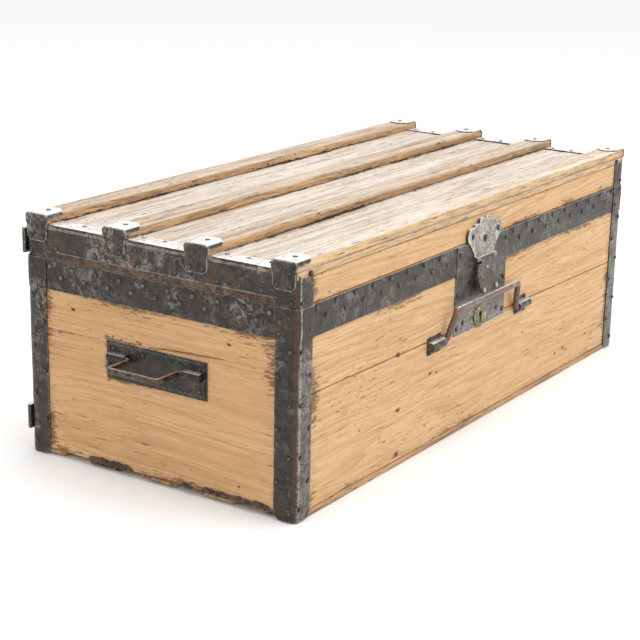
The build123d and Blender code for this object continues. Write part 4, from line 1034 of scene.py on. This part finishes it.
def clamp(solid, side_x, centre, number):
    """A steel clamp over one slat end: a saddle on top and a leg down the lid's end."""
    left = side_x < 0
    half = 19 * MM
    base = SLAT_TOP - 5 * MM
    radius = 4.8 * MM
    face = END_X + SHEET
    reach = 41 * MM
    turn = 180 if left else 130
    slack = 0.2 * MM
    saddle = arc((centre - half + radius, SLAT_TOP - radius), radius + slack, turn, 90, 4)
    saddle += arc((centre + half - radius, SLAT_TOP - radius), radius + slack, 90, 180 - turn, 4)
    if left:
        saddle = [(centre - half - slack, base)] + saddle + [(centre + half + slack, base)]
    total = sum(hypot(b[0] - a[0], b[1] - a[1]) for a, b in zip(saddle, saddle[1:]))
    outer = face + SHEET

    def inner_end(s):
        edge = min(s, total - s)
        if left:
            return max(0.0, 14 * MM - edge)
        across = abs(s - total / 2) / (total / 2)
        return 16 * MM * (1 - (1 - min(1.0, across) ** 2) ** 0.5)

    def outer_end(s):
        return side_x * (outer - 0.3 * MM)

    def worn_end(s):
        return side_x * (outer - reach + inner_end(s))

    ends = (outer_end, worn_end) if left else (worn_end, outer_end)
    skin(solid, saddle, section_x, *ends, SHEET - slack, 100 + number,
         dent=0.4 * MM, wobble=0.5 * MM, pitch=3 * MM)
    leg_base = low("slat_clamps_left").z
    leg_half = 17.5 * MM
    corner = 6 * MM
    path = [(side_x * face, SLAT_TOP + SHEET - 0.6 * MM), (side_x * face, leg_base)]
    if left:
        path = path[::-1]
    height = abs(path[0][1] - path[1][1])

    def side(s, sign):
        from_base = s if left else height - s
        from_top = height - from_base
        width = leg_half if from_base < height - 15 * MM else half + 0.6 * MM
        cut_corner = max(0.0, corner - from_base) + max(0.0, 3.5 * MM - from_top)
        return centre + sign * (width - cut_corner)

    skin(solid, path, section_y, lambda s: side(s, -1), lambda s: side(s, 1), SHEET, 120 + number,
         dent=0.5 * MM, wobble=0.5 * MM, pitch=3 * MM)


def clamps():
    for side_x, name in ((-1, "left"), (1, "right")):
        solid = Solid()
        for number, node in enumerate(SLATS):
            clamp(solid, side_x, mid(node).y, number + (10 if side_x > 0 else 0))
        sheet(solid, "clamps_" + name, "lid", "slat_clamps_" + name, "lid_steel", 0.4 * MM)


def lid_end_plates():
    """The sheet over each end of the lid and its folds on the top, between the slats."""
    for side_x, name in ((-1, "left"), (1, "right")):
        node = "lid_end_plate_" + name
        a, b = low(node), high(node)
        turn = PLANK_TOP - 4 * MM
        solid = Solid()
        wall = [(side_x * END_X, a.z), (side_x * END_X, turn)]
        if side_x > 0:
            wall = wall[::-1]
        clip = 22 * MM

        def rear(s, side_x=side_x, span=turn - a.z):
            from_base = s if side_x < 0 else span - s
            return b.y - max(0.0, clip - 1.2 * from_base)

        skin(solid, wall, section_y, lambda s: a.y - 4 * MM, rear, SHEET, 140, 0.8 * MM, 0.8 * MM, 5 * MM)
        fold_start = b.x if side_x < 0 else a.x
        bend = 2.2 * MM
        for number, (near, far) in enumerate(zip(SLATS, SLATS[1:])):
            middle_angle = (180, 90) if side_x < 0 else (90, 0)
            turn_centre = (side_x * (END_X - bend), PLANK_TOP - bend)
            curve = arc(turn_centre, bend, *middle_angle, 3)
            if side_x < 0:
                path = [(-END_X, turn)] + curve + [(fold_start, PLANK_TOP)]
            else:
                path = [(fold_start, PLANK_TOP)] + curve + [(END_X, turn)]
            y0, y1 = high(near).y + 0.6 * MM, low(far).y - 0.6 * MM
            skin(solid, path, section_y, lambda s, y=y0: y, lambda s, y=y1: y, SHEET, 145 + number,
                 0.8 * MM, 0.9 * MM, 3.5 * MM)
        sheet(solid, "end_plate_" + name, "lid", node, "lid_steel", 0.4 * MM)


def lid_rims():
    """The dark strip along the lower edge of the lid's ends."""
    a, b = low("lid_rims"), high("lid_rims")
    solid = Solid()
    for side_x in (-1, 1):
        path = straight_path("left" if side_x < 0 else "right", b.y)
        skin(solid, path, plan, lambda s: a.z, lambda s: b.z + 0.6 * MM, 1.7 * MM, 150,
             dent=0.3 * MM, wobble=0.6 * MM, pitch=5 * MM)
    paint(solid.build("rim_strips", "dark_strip", "lid", ("lid_rims",)), "dark_strip")


def lid_corner_angles():
    """Four angles on the lid; the rear ones have a thin sheet under them where the end plate is clipped."""
    solid = Solid()

    def base(s):
        return LID_BASE + 0.3 * MM

    for number, (side_x, side_y) in enumerate(CORNERS):
        path = corner_path(side_x, side_y, FLANGE, 0.0)
        total = sum(hypot(b[0] - a[0], b[1] - a[1]) for a, b in zip(path, path[1:]))
        front_first = (side_x, side_y) in ((-1, -1), (1, 1))
        if side_y > 0:
            inner = REAR_Y - FLANGE
            under = [(side_x * END_X, inner - 18 * MM), (side_x * END_X, inner + 2 * MM)]
            skin(solid, under if side_x < 0 else under[::-1], plan, base, lambda s: LID_BASE + 32 * MM,
                 0.6 * MM, 165 + number, dent=0.1 * MM, wobble=0.2 * MM, pitch=4 * MM)

        def top(s, total=total, front_first=front_first):
            on_long = s if front_first else total - s
            return PLANK_TOP - 8 * MM * (1 - smooth((on_long - 0.42 * total) / (6 * MM)))

        skin(solid, path, plan, base, top, SHEET, 160 + number,
             dent=0.6 * MM, wobble=0.7 * MM, pitch=3.2 * MM)
    sheet(solid, "lid_angles", "lid", "lid_corner_angles", "dark_steel", 0.4 * MM)


def battens():
    """Rear battens on the body and the lid."""
    leaves_low, leaves_high = low("hinge_leaves_lid").x, high("hinge_leaves_lid").x
    middle = (leaves_high + leaves_low) / 2
    reach = (leaves_high - leaves_low) / 2 - 30 * MM
    hinges = (middle - reach, middle + reach)
    battens = (("rear_batten", "body_batten", "trunk_body"), ("lid_batten", "lid_batten_bar", "lid"))
    for node, name, body in battens:
        a, b = low(node), high(node)
        cuts = [a.x + 12 * MM, b.x - 12 * MM]
        if body == "lid":
            # the lid's batten leaves room for the hinge leaves
            cuts[1:1] = [hinge + gap for hinge in hinges for gap in (-33 * MM, 33 * MM)]
        solid = Solid()
        for number in range(0, len(cuts), 2):

            def shape(x, a=a, b=b):
                sunk = ANGLE_SHEET if END_X - abs(x) < FLANGE - 2 * MM else 0.0
                radii = [0.8 * MM, 2.5 * MM, 2.5 * MM, 0.8 * MM]
                return rounded_profile(a.y + sunk, b.y, a.z, b.z, radii, nominal=(b.y - a.y, b.z - a.z))

            bar(solid, shape, section_x, cuts[number], cuts[number + 1], 170 + number, 0.6 * MM)
        paint(solid.build(name, "slat_wood", body, (node,)), "slat_pine")


# Nails

def nail_places(node):
    """Foot, outward direction, radius and rise of every nail head in a CAD node."""
    work = bmesh.new()
    work.from_mesh(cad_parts[node].data)
    bmesh.ops.remove_doubles(work, verts=work.verts, dist=1e-6)
    seen = set()
    places = []
    for vert in work.verts:
        if vert.index in seen:
            continue
        stack, island = [vert], []
        seen.add(vert.index)
        while stack:
            v = stack.pop()
            island.append(v.co.copy())
            for link in v.link_edges:
                other = link.other_vert(v)
                if other.index not in seen:
                    seen.add(other.index)
                    stack.append(other)
        lowest = Vector([min(c[i] for c in island) for i in range(3)])
        highest = Vector([max(c[i] for c in island) for i in range(3)])
        size = highest - lowest
        axis = min(range(3), key=lambda i: size[i])
        middle = (lowest + highest) / 2
        sign = 1.0 if axis == 2 or middle[axis] > 0 else -1.0
        normal = Vector([sign if i == axis else 0.0 for i in range(3)])
        foot = middle - normal * size[axis] / 2
        places.append((foot, normal, max(size) / 2, size[axis]))
    work.free()
    return places


def nails(node, name, body, seed):
    """Hand-driven domed nails: each a little off round, tilted and sunk its own amount."""
    random = Random(seed)
    solid = Solid()
    segments = 14
    foot_height, ring_height, ring_depth = 0.5 * MM, 0.3 * MM, 0.9 * MM
    # shares of the head's radius; the last one is a ring on the sheet round it, painted dark as shade
    steps = (0.0, 0.30, 0.60, 0.84, 1.0, 1.20)
    for foot, normal, radius, rise in nail_places(node):
        side = normal.orthogonal().normalized()
        other = normal.cross(side)
        tilt = Vector((random.uniform(-1, 1), random.uniform(-1, 1))) * 0.13
        wide = radius * random.uniform(0.90, 1.08)
        tall = rise * random.uniform(0.8, 1.15)
        oval = random.uniform(0.0, 0.10)
        skirt = wide * steps[-1]
        base = len(solid.verts)
        solid.verts.append(foot + normal * tall)
        solid.edge.append(wide)
        for step in steps[1:]:
            lift = max(0.0, tall * (1 - step ** 2.2))
            for k in range(segments):
                angle = 2 * pi * k / segments
                r = wide * step * (1 + oval * cos(2 * angle + seed + foot.x * 90))
                u, v = r * cos(angle), r * sin(angle)
                height = lift + (tilt.x * u + tilt.y * v) * (1 if step < 1 else 0.4)
                height += foot_height if step <= 1 else ring_height
                solid.verts.append(foot + side * u + other * v + normal * height)
                solid.edge.append(max(0.0, wide * (1 - step)))
        for k in range(segments):
            angle = 2 * pi * k / segments
            out = side * skirt * cos(angle) + other * skirt * sin(angle)
            solid.verts.append(foot + out - normal * ring_depth)
            solid.edge.append(0.0)
        rings = len(steps)
        for k in range(segments):
            n = (k + 1) % segments
            solid.faces.append((base, base + 1 + k, base + 1 + n))
            for r in range(rings - 1):
                p, q = base + 1 + r * segments, base + 1 + (r + 1) * segments
                solid.faces.append((p + k, q + k, q + n, p + n))
        last = base + 1 + (rings - 1) * segments
        solid.faces.append(tuple(last + k for k in reversed(range(segments))))
    return paint(solid.build(name, "nail_iron", body, (node,), angle=60), "nail_steel")


# Lock plate and hasp plate

def lock_plate():
    """The sheet under the hasp, dressed over the band."""
    node = "lock_plate"
    a, b = low(node), high(node)
    knee = BAND_BASE - 1 * MM
    over = FRONT_Y - SHEET
    path = [(FRONT_Y, a.z), (FRONT_Y, knee - 3.5 * MM), (over, knee + 0.6 * MM), (over, b.z)]
    solid = Solid()
    skin(solid, path, section_x, lambda s: a.x, lambda s: b.x, SHEET - 0.2 * MM, 180,
         dent=0.12 * MM, wobble=0.6 * MM, pitch=3.2 * MM)
    obj = paint(solid.build("lock_plate_sheet", "dark_sheet", "trunk_body", (node,)), "lock_steel")
    hole = mid("keyhole_escutcheon")
    slot = mid("lock_bolt").z
    # the keyhole and the slot for the hasp's staple: half width, lowest and highest
    openings = (
        (5.2 * MM, hole.z - 10.4 * MM, hole.z + 8.4 * MM),
        (2.3 * MM, slot - 8.5 * MM, slot + 8.5 * MM),
    )
    for half, base, top in openings:
        cut(obj, (hole.x - half, FRONT_Y - CUT_REACH, base), (hole.x + half, FRONT_Y + CUT_REACH, top))
    bevel(obj, 0.3 * MM)


def crown_reach(angle, lobes, tail):
    """How far the hasp plate reaches from its middle in one direction, over its lobes and its tail."""
    d = Vector((cos(angle), sin(angle)))
    best = 0.0
    for x, z, radius in lobes:
        c = Vector((x, z))
        miss = c.cross(d)
        if abs(miss) < radius:
            best = max(best, c.dot(d) + (radius * radius - miss * miss) ** 0.5)
    for a, b in zip(tail, tail[1:] + tail[:1]):
        a, b = Vector(a), Vector(b)
        span = b - a
        cross = d.cross(span)
        if abs(cross) < 1e-12:
            continue
        t = a.cross(span) / cross
        k = a.cross(d) / cross
        if t > 0 and -1e-6 <= k <= 1 + 1e-6:
            best = max(best, t)
    return best


def hasp_plate():
    """A dished plate with a scalloped crown; its tail hangs over the lock plate to the hasp's pin."""
    node = "hasp_plate"
    a, b = low(node), high(node)
    centre_x = (a.x + b.x) / 2
    axis = mid("hasp_pin")
    origin_z = 279 * MM
    knuckle = 28 * MM
    foot = axis.z + 1.2 * MM - origin_z
    half_lobes = ((37.5, 10.5, 12.5), (23.5, 17, 10.0), (8.5, 24, 10.5))
    lobes = [(s * x * MM, z * MM, r * MM) for x, z, r in half_lobes for s in (-1, 1)]
    half_tail = [(knuckle, foot), (knuckle + 3 * MM, foot + 9 * MM), (46 * MM, 3 * MM), (12 * MM, 20 * MM)]
    tail = half_tail + [(-x, z) for x, z in reversed(half_tail)]
    count = 120
    rings = (0.0, 0.18, 0.36, 0.52, 0.66, 0.78, 0.86, 0.92, 0.965, 1.0)
    solid = Solid()
    front = 5.3 * MM
    back = 3.5 * MM

    def proud(v, x, z):
        bead = 0.9 * MM * exp(-((v - 0.90) / 0.05) ** 2)
        rim = -0.9 * MM * smooth((v - 0.94) / 0.06)
        dish = -0.5 * MM * smooth((0.75 - v) / 0.5)
        return front + bead + rim + dish + 0.35 * MM * ripple((x, z, 0), 9 * MM, 190)

    layers = []
    for sheet_side in ("front", "back"):
        points = []
        for v in rings[1:]:
            for k in range(count):
                angle = 2 * pi * k / count
                r = crown_reach(angle, lobes, tail) * v
                x, z = r * cos(angle), r * sin(angle)
                if sheet_side == "front":
                    t = proud(v, x, z)
                else:
                    t = 0.0 if z + origin_z > BODY_TOP + 1.5 * MM else back
                points.append(Vector((centre_x + x, FRONT_Y - t, origin_z + z)))
        middle_t = proud(0, 0, 0) if sheet_side == "front" else back
        layers.append((Vector((centre_x, FRONT_Y - middle_t, origin_z)), points))
    for middle, points in layers:
        base = len(solid.verts)
        solid.verts.append(middle)
        solid.verts.extend(points)
        solid.edge.append(20 * MM)
        for v in rings[1:]:
            solid.edge.extend([(1 - v) * 25 * MM] * count)
        for k in range(count):
            n = (k + 1) % count
            solid.faces.append((base, base + 1 + k, base + 1 + n))
            for r in range(len(rings) - 2):
                p, q = base + 1 + r * count, base + 1 + (r + 1) * count
                solid.faces.append((p + k, q + k, q + n, p + n))
    size = 1 + (len(rings) - 1) * count
    rim_front, rim_back = size - count, 2 * size - count
    for k in range(count):
        n = (k + 1) % count
        solid.faces.append((rim_front + k, rim_back + k, rim_back + n, rim_front + n))
    for side in (-1, 1):
        ends = sorted((centre_x + side * 18.3 * MM, centre_x + side * 28 * MM))
        profile = arc((axis.y, axis.z), 3.5 * MM, 0, 342, 19)
        rings_x = [[Vector((x, y, z)) for y, z in profile] for x in ends]
        solid.add_loft(rings_x, [0.0] * len(profile))
    obj = paint(solid.build("hasp_plate_crown", "bright_steel", "lid", (node,), angle=50), "nickel")
    bevel(obj, 0.25 * MM, 1)


def cad_pieces():
    """CAD nodes that keep their own shape, with rounded edges and a finish."""
    looks = {
        "hasp": ("hasp_steel", 0.5),
        "hasp_pin": ("nickel", 0.3),
        "front_bail": ("bail_steel", 0.0),
        "bail_brackets": ("bracket_steel", 0.5),
        "keyhole_escutcheon": ("brass", 0.2),
        "lock_case": ("dark_steel", 0.4),
        "lock_bolt": ("lock_steel", 0.3),
        "handle_plate_left": ("handle_steel", 0.5),
        "handle_plate_right": ("handle_steel", 0.5),
        "end_handle_left": ("grip_steel", 0.0),
        "end_handle_right": ("grip_steel", 0.0),
        "hinge_leaves_body": ("dark_steel", 0.4),
        "hinge_leaves_lid": ("dark_steel", 0.4),
        "hinge_pins": ("handle_steel", 0.4),
        "rear_batten_caps": ("dark_steel", 0.4),
        "lid_batten_caps": ("lid_steel", 0.4),
        "dust_lip": ("inner_pine", 0.8),
        "floor_boards": ("inner_pine", 0.8),
    }
    for node, (material, width) in looks.items():
        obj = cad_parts[node]
        paint(obj, material)
        obj.data.shade_smooth()
        obj.data.set_sharp_from_angle(angle=radians(30))
        if width:
            bevel(obj, width * MM, 2)


# Floor, lights and camera

FLOOR_REACH = 30.0
FLOOR_GREY = 0.92
WORLD_STRENGTH = 1.0
# name, place, what it points at, width, power
LIGHTS = (
    ("top_softbox", (0.2, -0.3, 2.6), (0, 0, 0.2), 2.6, 37.0),
    ("front_softbox", (1.0, -3.0, 1.6), (0, 0, 0.15), 2.2, 22.0),
    ("left_softbox", (-3.0, -0.6, 1.5), (0, 0, 0.15), 1.8, 8.0),
)
CAMERA_PLACE = (-2.067, -1.3064, 0.8441)
CAMERA_TURN, CAMERA_TILT, CAMERA_ROLL = radians(32.573), radians(16.935), radians(1.433)
CAMERA_LENS = 93.929
CAMERA_SHIFT = (-0.04, 0.016)


def stage():
    """A pale floor, a soft light from above and a broad one from the front."""
    mesh = bpy.data.meshes.new("floor")
    far = FLOOR_REACH
    mesh.from_pydata([(-far, -far, 0), (far, -far, 0), (far, far, 0), (-far, far, 0)], [], [(0, 1, 2, 3)])
    floor = bpy.data.objects.new("floor", mesh)
    bpy.context.collection.objects.link(floor)
    g = Graph("floor_paint")
    mesh.materials.append(g.finish((FLOOR_GREY,) * 3, 0.9, specular=0.1))
    world = bpy.data.worlds.new("studio")
    bpy.context.scene.world = world
    world.use_nodes = True
    background = world.node_tree.nodes["Background"]
    background.inputs["Color"].default_value = (1.0, 1.0, 1.0, 1.0)
    background.inputs["Strength"].default_value = WORLD_STRENGTH
    for name, place, target, size, power in LIGHTS:
        light = bpy.data.lights.new(name, "AREA")
        light.size = size
        light.energy = power
        obj = bpy.data.objects.new(name, light)
        obj.location = place
        obj.rotation_euler = (Vector(target) - Vector(place)).to_track_quat("-Z", "Y").to_euler()
        bpy.context.collection.objects.link(obj)


def camera():
    """The camera stands off the trunk's left front corner and looks a little down."""
    turn, tilt, roll = CAMERA_TURN, CAMERA_TILT, CAMERA_ROLL
    forward = Vector((cos(tilt) * cos(turn), cos(tilt) * sin(turn), -sin(tilt)))
    right = Vector((sin(turn), -cos(turn), 0.0))
    up = right.cross(forward)
    right, up = right * cos(roll) + up * sin(roll), up * cos(roll) - right * sin(roll)
    data = bpy.data.cameras.new("camera")
    data.sensor_width = 36.0
    data.lens = CAMERA_LENS
    data.shift_x, data.shift_y = CAMERA_SHIFT
    data.clip_end = 100.0
    obj = bpy.data.objects.new("camera", data)
    rotation = Matrix((right, up, -forward)).transposed()
    obj.matrix_world = Matrix.Translation(CAMERA_PLACE) @ rotation.to_4x4()
    bpy.context.collection.objects.link(obj)
    bpy.context.scene.camera = obj


finishes()
body_boards()
runners()
corner_angles()
bands()
corner_wraps()
bottom_bindings()
lid_boards()
slats()
clamps()
lid_end_plates()
lid_rims()
lid_corner_angles()
battens()
nails("body_nails", "nails_body", "trunk_body", 11)
nails("lid_nails", "nails_lid", "lid", 12)
lock_plate()
hasp_plate()
cad_pieces()
stage()
camera()
bpy.context.scene.view_settings.view_transform = "Standard"
